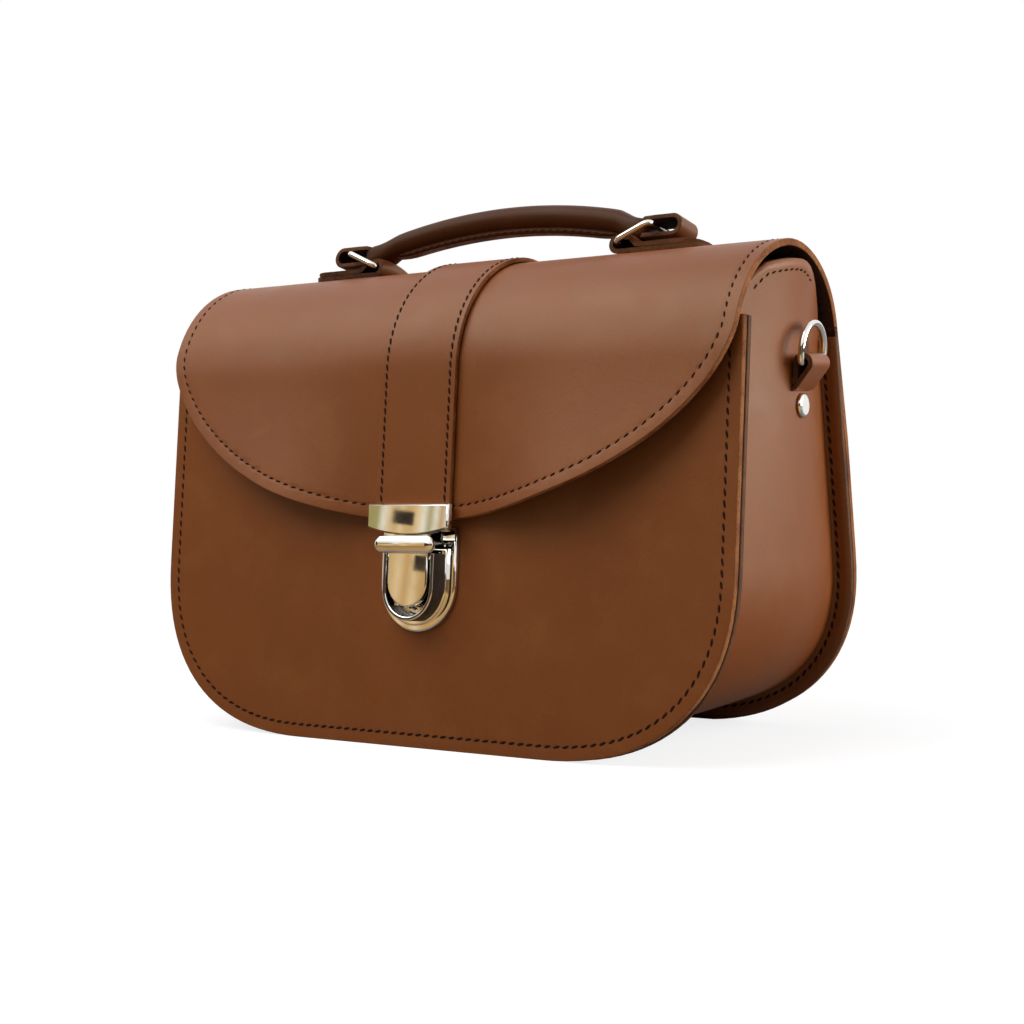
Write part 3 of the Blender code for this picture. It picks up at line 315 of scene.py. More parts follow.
def sew(name, lines, mapping, body, heights, pitch=STITCH_PITCH, size=1.0):
    """Stitches along lines on a piece, one row for each height that the line shows at; below 0 they face inwards."""
    bm = bmesh.new()
    bmesh.ops.create_uvsphere(bm, u_segments=8, v_segments=6, radius=1)
    stitch = bpy.data.meshes.new("stitch")
    bm.to_mesh(stitch)
    bm.clear()
    for spot, along in [step for line in lines for step in even_steps(line, pitch)]:
        for level, way in heights:
            centre = mapping(spot.x, spot.y, level)
            forward = (mapping(spot.x + along.x * PROBE, spot.y + along.y * PROBE, level) - centre).normalized()
            out = (mapping(spot.x, spot.y, level + way * PROBE) - centre).normalized()
            sideways = out.cross(forward).normalized()
            forward = forward * math.cos(STITCH_SLANT) + sideways * math.sin(STITCH_SLANT)
            sideways = out.cross(forward).normalized()
            turn = Matrix((sideways, out, forward)).transposed().to_4x4()
            shaped = stitch.copy()
            shaped.transform(Matrix.Translation(centre) @ turn @ Matrix.Diagonal((*(STITCH_HALF * size), 1)))
            bm.from_mesh(shaped)
            bpy.data.meshes.remove(shaped)
    bpy.data.meshes.remove(stitch)
    return show(name, bm, body, [thread], even=False)


THREAD_LEVEL = -SEAM_DEPTH + 0.00008
front = leather_blank(panel_line(0, FRONT_TOP), PANEL_LEATHER, SEAM_INSET)
show("front_panel_leather", front, "body", THREE_SIDES, "front_panel", mapping=on_front)

# ---- Gusset ---------------------------------------------------------------------------------------------------
# One strip of the same hide round both ends and the bottom. Its edges are creased outwards into flanges that lie
# behind the panels, its walls bow out a little, and at each end it rises in a hemmed ear under the flap.
GUSSET_LEATHER = 0.0020
SEAT_GAP = 0.0003
FLANGE = 0.007
CREASE_RADIUS = 0.0024
GUSSET_BOW = 0.005
GUSSET_MIDDLE = PANEL_LEATHER + SEAT_GAP + GUSSET_LEATHER / 2
EAR_FOOT = 0.118
EAR_LEAST = 0.004
EAR_FIRST_REACH = 0.14
EAR_SPREAD = 0.0028
EAR_SPREAD_FROM = 0.112
EAR_GAP = 0.0012
EAR_BACK_RADIUS = 0.0229
EAR_ARCH = 6.8
EAR_TOP = 0.148
EAR_ROWS = 12
FLAP_TOP_RADIUS = 0.029
FLAP_TOP_TURN = math.radians(95)
BAG_HEIGHT = 0.153
FLAP_STANDOFF = 0.002

flap_proud = FLAP_STANDOFF + PANEL_LEATHER
# The flap's top bends round two arcs; each centre is how far back it is and how high
top_z = BAG_HEIGHT - FLAP_TOP_RADIUS
top_centre = (back_foot - top_z * math.tan(BACK_LEAN) - FLAP_TOP_RADIUS / math.cos(BACK_LEAN), top_z)
turn_share = math.cos(FLAP_TOP_TURN + FRONT_LEAN)
to_front = (top_centre[0] - front_foot) * math.cos(FRONT_LEAN) - top_z * math.sin(FRONT_LEAN) + flap_proud
front_radius = (to_front + FLAP_TOP_RADIUS * turn_share) / (1 + turn_share)
front_centre = (
    top_centre[0] - (front_radius - FLAP_TOP_RADIUS) * math.cos(FLAP_TOP_TURN),
    top_centre[1] - (front_radius - FLAP_TOP_RADIUS) * math.sin(FLAP_TOP_TURN),
)


def on_back(across, up, off):
    """A point over the back panel: across it, up it and out from its face."""
    sine, cosine = math.sin(BACK_LEAN), math.cos(BACK_LEAN)
    return Vector((across, back_foot - up * sine + off * cosine, up * cosine + off * sine))


def clamp(value):
    return min(max(value, 0), 1)


def ear_top(y):
    """How high the ear reaches at a depth: a rounded back, then a flat arch that slips in under the flap."""
    if y > top_centre[0]:
        return top_centre[1] + math.sqrt(max(EAR_BACK_RADIUS**2 - (y - top_centre[0]) ** 2, 0))
    reach = (front_radius - PANEL_LEATHER - EAR_GAP) ** 2 - (y - front_centre[0]) ** 2
    arch = top_centre[1] + EAR_BACK_RADIUS - EAR_ARCH * (y - top_centre[0]) ** 2
    return min(arch, front_centre[1] + math.sqrt(max(reach, 0)))


def ear_spread(z):
    """How far the ear stands out at a height."""
    return EAR_SPREAD * clamp((z - EAR_SPREAD_FROM) / (EAR_TOP - EAR_SPREAD_FROM)) ** 2


def between_panels(point, share):
    """A point between the gusset's two flange planes, at a place on the panels and a share of the way back."""
    return on_front(point.x, point.y, -GUSSET_MIDDLE).lerp(on_back(point.x, point.y, -GUSSET_MIDDLE), share)


def gusset_section():
    """The strip's section from front to back: how far out, how far in from a fold, and which fold, as a share."""
    section = [(FLANGE, 0, 0), ((FLANGE + CREASE_RADIUS) / 2, 0, 0)]
    for step in range(6):
        turned = math.pi / 2 * step / 5
        section.append((CREASE_RADIUS * (1 - math.sin(turned)), CREASE_RADIUS * (1 - math.cos(turned)), 0))
    walls = 14
    section += [(0, 0, step / walls) for step in range(1, walls)]
    return section + [(out, -back, 1) for out, back, _ in reversed(section[:8])]


gusset_columns = gusset_section()
strip_edge = panel_line(0, EAR_FOOT)
strip_fold = panel_line(FLANGE, EAR_FOOT)
STRIP_ROWS = len(strip_edge) + 2 * EAR_ROWS


def gusset_point(column, to_left):
    """A point of the strip's middle surface, from the right ear's top, at -1, round to the left ear's, at 1."""
    out, back, share = gusset_columns[column]
    row = round((to_left + 1) / 2 * (STRIP_ROWS - 1))
    last = len(strip_edge) - 1
    inner = min(max(row - EAR_ROWS, 0), last)
    ear = max(EAR_ROWS - row, row - EAR_ROWS - last, 0) / EAR_ROWS
    outward = (strip_edge[inner] - strip_fold[inner]).normalized()
    spot = strip_fold[inner] + outward * out
    if ear:
        reach = EAR_FIRST_REACH
        for _ in range(12):
            at_top = between_panels(Vector((spot.x, reach)), share)
            reach += (ear_top(at_top.y + back) - at_top.z) * 0.6
        if share == 0 and out > 0:
            reach = min(reach, FRONT_TOP + max(CREASE_RADIUS - out, 0))
        spot.y = EAR_FOOT + (max(reach, EAR_FOOT + EAR_LEAST) - EAR_FOOT) * ear
    point = between_panels(spot, share)
    point.y += back
    front_fold, back_fold = between_panels(spot, 0).y, between_panels(spot, 1).y
    bow = GUSSET_BOW * math.sin(math.pi * (point.y - front_fold) / (back_fold - front_fold))
    side = 1 if inner < len(strip_edge) / 2 else -1
    point.x += (outward.x * bow + side * ear_spread(point.z)) * (1 - out / FLANGE)
    return point


def sheet(columns, rows, point):
    """A sheet without thickness, whose corners lie where a function of column and place in the row puts them."""
    bm = bmesh.new()
    bmesh.ops.create_grid(bm, x_segments=columns - 1, y_segments=rows - 1, size=1)
    for vert in bm.verts:
        vert.co = point(round((vert.co.x + 1) / 2 * (columns - 1)), vert.co.y)
    bmesh.ops.recalc_face_normals(bm, faces=bm.faces[:])
    return bm


def thicken(piece, thickness):
    """Gives a sheet the hide's thickness, with its second material on the rim and its third on the inner side."""
    hide = piece.modifiers.new("hide", "SOLIDIFY")
    hide.thickness = thickness
    hide.offset = 0
    hide.use_even_offset = True
    hide.material_offset = 2
    hide.material_offset_rim = 1


# The gusset's cut edge: a darker copy of the raw edge colours.
darker_gusset_edge = finish(
    "darker_gusset_edge", cut_edge, 0.5, 0.0002, roughness=0.6, specular=0.3, Fibre=(0.170, 0.060, 0.020, 1),
    Closed=(0.055, 0.017, 0.006, 1),
)
strip = sheet(len(gusset_columns), STRIP_ROWS, gusset_point)
if sum(face.normal.x * face.calc_center_median().x for face in strip.faces) < 0:
    bmesh.ops.reverse_faces(strip, faces=strip.faces[:])
gusset_sides = (saddle_leather, darker_gusset_edge, flesh_leather)
gusset = show("gusset_leather", strip, "body", gusset_sides, "gusset", slot="gusset_leather", even=False)
thicken(gusset, GUSSET_LEATHER)
gusset.modifiers.new("flat_faces", "WEIGHTED_NORMAL")


def walls_at(z):
    """How far back the gusset's wall starts and ends at a height."""
    front_fold = on_front(0, z / math.cos(FRONT_LEAN), -GUSSET_MIDDLE).y
    return front_fold, on_back(0, z / math.cos(BACK_LEAN), -GUSSET_MIDDLE).y


def on_ear(side):
    """Places on the wall of one ear: how far back as a share, how far under its top edge, and out from it."""

    def place_on_ear(share, drop, out):
        y = on_front(0, EAR_TOP, -GUSSET_MIDDLE).y
        y += (on_back(0, EAR_TOP, -GUSSET_MIDDLE).y - y) * share
        z = ear_top(y)
        slope = (ear_top(y + PROBE) - ear_top(y - PROBE)) / (2 * PROBE)
        steep = math.hypot(1, slope)
        y += slope / steep * drop
        z -= drop / steep
        front_fold, back_fold = walls_at(z)
        bow = GUSSET_BOW * math.sin(math.pi * (y - front_fold) / (back_fold - front_fold))
        return Vector((side * (PANEL_HALF - FLANGE + bow + ear_spread(z) + out), y, z))

    return place_on_ear


HEM_DROP = 0.0034
HEM_FROM = 0.05
HEM_TO = 0.79
HEM_STEPS = 30
hem_proud = GUSSET_LEATHER / 2 + 0.0001


def sew_hem(name, side):
    """The ear's hem seam, even in pitch along the curved edge, on both faces of the ear."""
    mapping = on_ear(side)
    shares = [HEM_FROM + (HEM_TO - HEM_FROM) * step / HEM_STEPS for step in range(HEM_STEPS + 1)]
    lengths = lengths_along([mapping(share, HEM_DROP, 0) for share in shares])

    def along_hem(x, y, out):
        index = min(max(sum(1 for length in lengths if length <= x) - 1, 0), HEM_STEPS - 1)
        part = (x - lengths[index]) / (lengths[index + 1] - lengths[index])
        return mapping(shares[index] + (shares[index + 1] - shares[index]) * part, HEM_DROP, out)

    both_faces = [(hem_proud, 1), (-hem_proud, -1)]
    sew(name, [[(0, 0), (lengths[-1], 0)]], along_hem, "body", both_faces, pitch=0.0030, size=0.72)


sew_hem("ear_hem_right", 1)
sew_hem("ear_hem_left", -1)

# ---- Back panel -----------------------------------------------------------------------------------------------
# The same board as the front one, a little lower than the bag's top: the flap is sewn on where it ends. Both
# panels' seams go through the gusset's flanges and show inside the bag too.
FLAP_HALF = 0.112
SEAM_FROM_TOP = 0.003
back_top = (top_centre[1] + FLAP_TOP_RADIUS * math.sin(BACK_LEAN)) / math.cos(BACK_LEAN)
back = leather_blank(panel_line(0, back_top, FLAP_HALF), PANEL_LEATHER, SEAM_INSET)
show("back_panel_leather", back, "body", THREE_SIDES, "back_panel", mapping=on_back)

panel_faces = [(THREAD_LEVEL, 1), (-PANEL_LEATHER - SEAT_GAP - GUSSET_LEATHER, -1)]
for name, top, mapping in (("front", FRONT_TOP, on_front), ("back", back_top, on_back)):
    sew(name + "_panel_thread", [panel_line(SEAM_INSET, top - SEAM_FROM_TOP)], mapping, "body", panel_faces)

# ---- Flap -----------------------------------------------------------------------------------------------------
# One sheet from the back panel's top, over the bag and down the front in a wide smile. Its wings stand off a
# little below, its edge is raw, and a sewn line follows the edge all round. It bends where it meets the back panel.
FLAP_EDGE_HEIGHT = 0.0713
FLAP_DROP = 0.058
FLAP_EDGE_POWER = 1.7
FLAP_FLARE = 0.010
FLARE_FULL_X = 0.060
FLARE_GROWTH = 1.5
STRAP_HALF = 0.015
FLAP_SEAM = 0.0040
FLAP_STITCH = 0.82
FOLD_LENGTH = 0.016

top_length = FLAP_TOP_RADIUS * (FLAP_TOP_TURN - BACK_LEAN)
arch_length = top_length + front_radius * (math.pi - FRONT_LEAN - FLAP_TOP_TURN)
front_tangent = front_centre[1] + front_radius * math.sin(FRONT_LEAN)
flap_end = arch_length + (front_tangent - FLAP_EDGE_HEIGHT) / math.cos(FRONT_LEAN)
side_end = flap_end - FLAP_DROP


def eased(share):
    """A share from 0 to 1 that starts and ends softly."""
    return share**2 * (3 - 2 * share)


def on_flap(across, along, proud):
    """A point over the flap: across it, along it from the back panel over the top and down, and out from it."""
    if along < top_length:
        centre, radius, angle = top_centre, FLAP_TOP_RADIUS, BACK_LEAN + along / FLAP_TOP_RADIUS
    else:
        centre, radius = front_centre, front_radius
        angle = FLAP_TOP_TURN + (min(along, arch_length) - top_length) / front_radius
    below = max(along - arch_length, 0)
    to_side = clamp((abs(across) - STRAP_HALF) / (FLARE_FULL_X - STRAP_HALF))
    reach = radius + proud + FLAP_FLARE * eased(to_side) * (max(along - side_end, 0) / FLAP_DROP) ** FLARE_GROWTH
    y = centre[0] + reach * math.cos(angle) - below * math.sin(FRONT_LEAN)
    return Vector((across, y, centre[1] + reach * math.sin(angle) - below * math.cos(FRONT_LEAN)))


def flap_line(inset):
    """The flap's edge from the back panel down its right side, along the smile and up the left, moved inwards."""
    side = [Vector((FLAP_HALF, 0)), Vector((FLAP_HALF, side_end / 2)), Vector((FLAP_HALF, side_end))]
    steps = 44
    for step in range(1, steps + 1):
        turned = math.pi / 2 * step / steps
        drop = FLAP_DROP * max(math.sin(turned), 0) ** (2 / FLAP_EDGE_POWER)
        side.append(Vector((FLAP_HALF * math.cos(turned), side_end + drop)))
    side[-1].x = 0
    return both_halves(side, -inset)


def flap_blank(**cleared):
    """The flap's blank, kept on one side of the line where the fold ends, and closed there."""
    bm = leather_blank(flap_line(0), PANEL_LEATHER, FLAP_SEAM)
    cut = cut_through(bm, 1, FOLD_LENGTH, **cleared)
    opened = [part for part in cut["geom_cut"] if isinstance(part, bmesh.types.BMEdge)]
    bmesh.ops.edgenet_fill(bm, edges=opened, mat_nr=1)
    for edge in opened:
        edge.smooth = False
    return bm


flap_sheet = flap_blank(clear_inner=True)
score(flap_sheet, 1, 0, flap_end, 0.003)
score(flap_sheet, 0, -FLAP_HALF, FLAP_HALF, 0.0056)
show("flap_leather", flap_sheet, "flap", THREE_SIDES, "flap", mapping=on_flap)
fold_sheet = flap_blank(clear_outer=True)
score(fold_sheet, 1, 0, FOLD_LENGTH, 0.001)
fold = show("flap_fold", fold_sheet, None, THREE_SIDES, mapping=on_flap)
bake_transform(fold)

seam_half = FLAP_HALF - FLAP_SEAM
edge_seam = [point for point in flap_line(FLAP_SEAM) if point.y > FOLD_LENGTH]
edge_seam = [Vector((seam_half, FOLD_LENGTH))] + edge_seam + [Vector((-seam_half, FOLD_LENGTH))]
flap_faces = [(THREAD_LEVEL, 1), (-PANEL_LEATHER - THREAD_LEVEL, -1)]
sew("flap_thread", [edge_seam], on_flap, "flap", flap_faces, size=FLAP_STITCH)
fold_seam = [[(way * seam_half, FLAP_SEAM), (way * seam_half, FOLD_LENGTH)] for way in (1, -1)]
fold_seam.append([(seam_half, FLAP_SEAM), (-seam_half, FLAP_SEAM)])
fold_thread = sew("flap_fold_thread", fold_seam, on_flap, None, flap_faces, size=FLAP_STITCH)
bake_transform(fold_thread)

# ---- Flap strap -----------------------------------------------------------------------------------------------
# A band of thinner leather down the middle of the flap, from behind the handle over the top to the lock. A seam
# along each side goes through the flap and shows on its inner side too.
STRAP_LEATHER = 0.0015
STRAP_SEAM = 0.0022
STRAP_PITCH = 0.0028
STRAP_PAST_TOP = math.radians(38)
strap_start = FLAP_TOP_RADIUS * (math.pi / 2 - BACK_LEAN - STRAP_PAST_TOP)
strap_rise = SEAT_GAP + STRAP_LEATHER


def on_strap(across, along, proud):
    return on_flap(across, along, strap_rise + proud)


def oblong(half, low, high):
    """A rectangle's corners, even to both sides."""
    return [(half, low), (half, high), (-half, high), (-half, low)]


band = leather_blank(oblong(STRAP_HALF, strap_start, flap_end), STRAP_LEATHER, STRAP_SEAM)
score(band, 1, strap_start, flap_end, 0.0025)
show("flap_strap_leather", band, "flap", THREE_SIDES, "flap_strap", mapping=on_strap)
seam_sides = [way * (STRAP_HALF - STRAP_SEAM) for way in (1, -1)]
strap_seam = [[(across, strap_start), (across, flap_end)] for across in seam_sides]
sew("flap_strap_thread", strap_seam, on_strap, "flap", [(THREAD_LEVEL, 1)], pitch=STRAP_PITCH)
sew("flap_strap_thread_inside", strap_seam, on_flap, "flap", [(-PANEL_LEATHER, -1)], pitch=STRAP_PITCH)

# ---- Lock case ------------------------------------------------------------------------------------------------
# A pressed, chromed shield screwed to the front panel from behind. On it stands a stepped, hollow housing that the
# slide sits in; the housing's cavity holds a dark, dull sheet that is painted shade.
CASE_HALF = 0.0150
CASE_TOP = 0.0693
CASE_CENTRE = 0.0514
CASE_FACE = 0.0018
CASE_RIM = 0.0007
STEP_HALF = 0.0124
STEP_CENTRE = CASE_CENTRE - 0.0006
STEP_FACE = 0.0031
STEP_FOOT = CASE_FACE - 0.0004
STEP_RIM = 0.0006
HOUSING_HALF = 0.0101
HOUSING_CENTRE = 0.0499
HOUSING_TOP = 0.0611
HOUSING_FACE = 0.0068
HOUSING_FOOT = STEP_FACE - 0.0006
HOUSING_WALL = 0.0013
HOUSING_RIM = 0.00035
STEP_TOP = HOUSING_TOP + 0.0016
SHADE_SHEET_TOP = HOUSING_TOP - 0.0004
SHADE_SHEET_FACE = HOUSING_FACE - 0.0006
SHADE_SHEET_THICKNESS = 0.0001
SHADE_SHEET_GAP = 0.00005
FLOOR_SINK = 0.0002
FLOOR_RISE = 0.00003

polished, tints, place = pattern("polished plate", Metal=(0.86, 0.84, 0.80, 1), Dulled=(0.74, 0.70, 0.63, 1))
smear = noise(polished, place, 110, 4.0, Distortion=0.8)
hairlines = noise(polished, place, 2400, 5.0, Roughness=0.7)
shine = sum_of(polished, spread(polished, smear, 0.35, 0.7, 0.012, 0.030), hairlines, 0.008)
colour = dye(polished, tints["Metal"], tints["Dulled"], smear, 0.42, 0.75, 0.6)
give(polished, Colour=colour, Roughness=shine, Height=hairlines)
UNTINTED = (1, 1, 1, 1)
chrome = finish("polished_chrome", polished, 0.02, 0.00001, metallic=1.0, tint=UNTINTED)
# Painted shade: a dark, dull metal for the sheet inside the housing's cavity.
cavity_painted_shade = finish(
    "cavity_painted_shade", polished, 0.3, 0.00005, roughness=0.6, metallic=1.0, tint=UNTINTED, Metal=(0.10, 0.085, 0.07, 1),
    Dulled=(0.05, 0.045, 0.04, 1),
)


def arc_points(x, y, radius, start, end, steps):
    turns = [start + (end - start) * step / steps for step in range(steps + 1)]
    return [(x + radius * math.cos(turned), y + radius * math.sin(turned)) for turned in turns]


def shield_line(half, centre, top):
    """A U: a straight top, parallel sides and a half round below."""
    return [(half, top), *arc_points(0, centre, half, 0, -math.pi, 24), (-half, top)]


def pressed_plate(bm, line, low, high, rim=0, segments=3):
    """Adds a plate with a rounded or chamfered front rim to a mesh; its outline is drawn on the front panel."""
    made = bmesh.ops.create_circle(bm, cap_ends=True, segments=len(line), radius=1)["verts"]
    for vert, point in zip(made, line):
        vert.co = (point[0], point[1], low)
    raised = bmesh.ops.extrude_face_region(bm, geom=[made[0].link_faces[0]])["geom"]
    upper = [part for part in raised if isinstance(part, bmesh.types.BMVert)]
    bmesh.ops.translate(bm, verts=upper, vec=(0, 0, high - low))
    top = [part for part in raised if isinstance(part, bmesh.types.BMFace)]
    bmesh.ops.recalc_face_normals(bm, faces=list({f for v in made + upper for f in v.link_faces}))
    if rim:
        bmesh.ops.bevel(
            bm, geom=list(top[0].edges), offset=rim, offset_type="OFFSET", segments=segments, profile=0.5,
            affect="EDGES", clamp_overlap=True, material=-1,
        )
    bm.normal_update()
    for edge in [edge for face in bm.faces if abs(face.normal.z) > 0.99 for edge in face.edges]:
        edge.smooth = False


case = bmesh.new()
cavity_half = HOUSING_HALF - HOUSING_WALL
pressed_plate(case, shield_line(CASE_HALF, CASE_CENTRE, CASE_TOP), SEAT_GAP, CASE_FACE, CASE_RIM, 2)
# Known fault: after the case's bevel a new circle's points come back out of order, so the step's outline crosses
# itself and its flat faces cover the cavity
for half, centre, top, low, high, rim in (
    (STEP_HALF, STEP_CENTRE, STEP_TOP, STEP_FOOT, STEP_FACE, STEP_RIM),
    (HOUSING_HALF, HOUSING_CENTRE, HOUSING_TOP, HOUSING_FOOT, HOUSING_FACE, HOUSING_RIM),
):
    inner = shield_line(cavity_half, HOUSING_CENTRE, top)
    pressed_plate(case, shield_line(half, centre, top) + inner[::-1], low, high, rim)
polished_count = len(case.faces)
# Painted shade: a dark sheet over the cavity's floor and walls, so that the inside of the housing reads dark.
shade_sheet_half = cavity_half - SHADE_SHEET_GAP
shade_sheet_floor = shield_line(shade_sheet_half, HOUSING_CENTRE, HOUSING_TOP)
pressed_plate(case, shade_sheet_floor, CASE_FACE - FLOOR_SINK, CASE_FACE + FLOOR_RISE)
shade_sheet_wall = shield_line(shade_sheet_half, HOUSING_CENTRE, SHADE_SHEET_TOP)
shade_sheet_wall += shield_line(shade_sheet_half - SHADE_SHEET_THICKNESS, HOUSING_CENTRE, SHADE_SHEET_TOP)[::-1]
pressed_plate(case, shade_sheet_wall, CASE_FACE, SHADE_SHEET_FACE)
case.faces.ensure_lookup_table()
for face in case.faces[polished_count:]:
    face.material_index = 1
show("lock_case_plate", case, "body", (chrome, cavity_painted_shade), "lock_case", mapping=on_front, slot="chrome")

# ---- Lock slide -----------------------------------------------------------------------------------------------
# The piece that the thumb pushes down: a U-shaped face inside the housing, and above it a fat, rounded thumb bar on
# a short neck. A block on the face's back rests on the spring.
SLIDE_TRAVEL = 0.0022
SLIDE_FACE = 0.0071
SLIDE_BACK = 0.0051
SLIDE_TOP = 0.064
SLIDE_GAP = 0.0009
SLIDE_RIM = 0.0005
BAR_HALF = 0.0119
BAR_LOW = 0.0609
BAR_HIGH = 0.0663
BAR_FACE = 0.0108
BAR_BACK = 0.0070
NECK_LOW = BAR_LOW + 0.0004
NECK_FACE = SLIDE_FACE + 0.001
BLOCK_HALF = 0.0055
BLOCK_LOW = 0.056
BLOCK_HIGH = 0.060
BLOCK_BACK = 0.0021
OVERLAP = 0.0003

slide = bmesh.new()
face_half = cavity_half - SLIDE_GAP
slide_line = shield_line(face_half, HOUSING_CENTRE + SLIDE_TRAVEL, SLIDE_TOP)
pressed_plate(slide, slide_line, SLIDE_BACK, SLIDE_FACE, SLIDE_RIM)
bar_radius = (BAR_HIGH - BAR_LOW) / 2
bar_depth = (BAR_FACE - BAR_BACK) / 2
lying = Matrix.Rotation(math.pi / 2, 4, "Y")
for vert in bmesh.ops.create_uvsphere(slide, u_segments=36, v_segments=19, radius=1, matrix=lying)["verts"]:
    across = vert.co.x * bar_radius + math.copysign(BAR_HALF - bar_radius, vert.co.x)
    vert.co = (across, BAR_LOW + bar_radius * (1 + vert.co.y), BAR_BACK + bar_depth * (1 + vert.co.z))
pressed_plate(slide, oblong(face_half, NECK_LOW, SLIDE_TOP), SLIDE_BACK + OVERLAP, NECK_FACE)
pressed_plate(slide, oblong(BLOCK_HALF, BLOCK_LOW, BLOCK_HIGH), BLOCK_BACK, SLIDE_BACK + OVERLAP)
show("lock_slide_bar", slide, "slide", [chrome], "lock_slide", mapping=on_front, slot="chrome")

# ---- Flap plate -----------------------------------------------------------------------------------------------
# The chromed plate across the strap's end, flat with a bevelled rim and a bowed lower edge, riveted through the
# flap. Its short tongue hangs behind, over the top of the case.
PLATE_HALF = 0.01625
PLATE_TOP = 0.0765
PLATE_SIDE_LOW = 0.0689
PLATE_MIDDLE_LOW = 0.0666
PLATE_BACK = flap_proud + SEAT_GAP + STRAP_LEATHER + SEAT_GAP
PLATE_METAL = 0.002
PLATE_RIM = 0.0006
TONGUE_HALF = 0.007
TONGUE_LOW = 0.0655
TONGUE_BACK = 0.004
TONGUE_METAL = 0.002
TONGUE_RIM = 0.0004

plate = bmesh.new()
bowed = [Vector((PLATE_HALF, PLATE_TOP)), Vector((-PLATE_HALF, PLATE_TOP))]
for step in range(25):
    share = 2 * step / 24 - 1
    bowed.append(Vector((PLATE_HALF * share, PLATE_MIDDLE_LOW + (PLATE_SIDE_LOW - PLATE_MIDDLE_LOW) * share**2)))
pressed_plate(plate, bowed, PLATE_BACK, PLATE_BACK + PLATE_METAL, PLATE_RIM, 1)
tongue_neck = oblong(TONGUE_HALF, PLATE_SIDE_LOW - TONGUE_METAL, PLATE_SIDE_LOW + TONGUE_METAL)
pressed_plate(plate, tongue_neck, TONGUE_BACK, PLATE_BACK + PLATE_METAL / 2)
tongue = oblong(TONGUE_HALF - OVERLAP, TONGUE_LOW, PLATE_SIDE_LOW - OVERLAP)
pressed_plate(plate, tongue, TONGUE_BACK + OVERLAP, TONGUE_BACK + TONGUE_METAL, TONGUE_RIM)
show("flap_plate_metal", plate, "flap", [chrome], "flap_plate", mapping=on_front, slot="chrome")

# ---- Lock spring ----------------------------------------------------------------------------------------------
# A fine coil of spring steel in the foot of the housing. It lifts the slide again after the slide is pushed down;
# the coil itself keeps one fixed length.
SPRING_RADIUS = 0.001
SPRING_WIRE = 0.00025
SPRING_TURNS = 8
SPRING_OUT = 0.00345
POINTS_A_TURN = 12

brushed_steel = finish(
    "brushed_steel", polished, 0.3, 0.00005, roughness=0.32, metallic=1.0, tint=UNTINTED,
    Metal=(0.52, 0.53, 0.55, 1), Dulled=(0.40, 0.40, 0.41, 1),
)


def round_wire(runs, radius, closed, sides=8):
    """Round wire or strand along runs of points, as one mesh."""
    curve = bpy.data.curves.new("wire", "CURVE")
    curve.dimensions = "3D"
    curve.bevel_depth = radius
    curve.bevel_resolution = sides // 2 - 2
    curve.use_fill_caps = not closed
    for run in runs:
        spline = curve.splines.new("POLY")
        spline.points.add(len(run) - 1)
        for point, spot in zip(spline.points, run):
            point.co = (*spot, 1)
        spline.use_cyclic_u = closed
    holder = bpy.data.objects.new("wire", curve)
    bpy.context.scene.collection.objects.link(holder)
    drawn = bpy.data.meshes.new_from_object(holder.evaluated_get(bpy.context.evaluated_depsgraph_get()))
    bm = bmesh.new()
    bm.from_mesh(drawn)
    bpy.data.objects.remove(holder, do_unlink=True)
    bpy.data.meshes.remove(drawn)
    bmesh.ops.remove_doubles(bm, verts=bm.verts[:], dist=0.00001)
    bmesh.ops.recalc_face_normals(bm, faces=bm.faces[:])
    return bm


spring_low = HOUSING_CENTRE - math.sqrt(shade_sheet_half**2 - SPRING_RADIUS**2) + SEAT_GAP + SPRING_WIRE
spring_high = BLOCK_LOW - SEAT_GAP - SPRING_WIRE
coil = []
for step in range(SPRING_TURNS * POINTS_A_TURN + 1):
    turned = 2 * math.pi * step / POINTS_A_TURN
    height = spring_low + (spring_high - spring_low) * step / (SPRING_TURNS * POINTS_A_TURN)
    coil.append(on_front(SPRING_RADIUS * math.cos(turned), height, SPRING_OUT + SPRING_RADIUS * math.sin(turned)))
coil = round_wire([coil], SPRING_WIRE, False)
spring = show("lock_spring_coil", coil, "body", [brushed_steel], "lock_spring", slot="spring_steel", even=False)
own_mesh(spring)

# ---- Fixings behind the lock ----------------------------------------------------------------------------------
# Plain steel inside the bag: a back plate and two screws hold the case, and a backing strip with two rivets holds
# the flap plate. They keep their frame shapes and get brushed steel.
for name in (
    "lock_back_plate", "lock_screw_left", "lock_screw_right", "flap_plate_backing", "flap_plate_rivet_left",
    "flap_plate_rivet_right",
):
    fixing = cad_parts[name]
    fixing.data.materials.clear()
    fixing.data.materials.append(brushed_steel)

# ---- Handle ---------------------------------------------------------------------------------------------------
# A cord core wrapped in a strip of leather that is sewn together below in a narrow fin. Beyond the core the strip
# runs on flat at each end, round the outer bar of a wire ring and back under itself.
HANDLE_TILT = math.radians(15)
HANDLE_RISE = 0.0175
HANDLE_ARCH = 0.0077
HANDLE_ARCH_HALF = 0.056
HANDLE_RADIUS = 0.0042
HANDLE_STITCH = 0.0031
TUBE_HALF = 0.0576
TUBE_CLOSING = 0.0016
FLAT_FROM = 0.0445
FLAT_TALL = 0.0037
FLAT_WIDE = 0.0053
FLAT_SQUARED = 0.20
END_DRAWN_IN = 0.16
FIN_HALF = 0.0470
FIN_TAPER = 0.0100
FIN_HALF_WIDTH = 0.0014
FIN_ROOT_WIDER = 1.35
FIN_ROOT_INSIDE = 0.0007
FIN_DROP = 0.0016
FIN_SEAM = 0.35
END_STRAP_HALF = 0.0075
HANDLE_LOOP_HALF = 0.0052
LOOP_RADIUS = 0.0029
LOOP_PAST_BAR = 0.0060
CHAPE_LEATHER = 0.0015
LOOP_HOLE = 0.0034
PIVOT_X = 0.050
RING_LENGTH = 0.013
RING_REST = math.radians(24)
RING_WIRE = 0.001
RING_SIDE_GAP = 0.0008
RING_CORNER = 0.0022

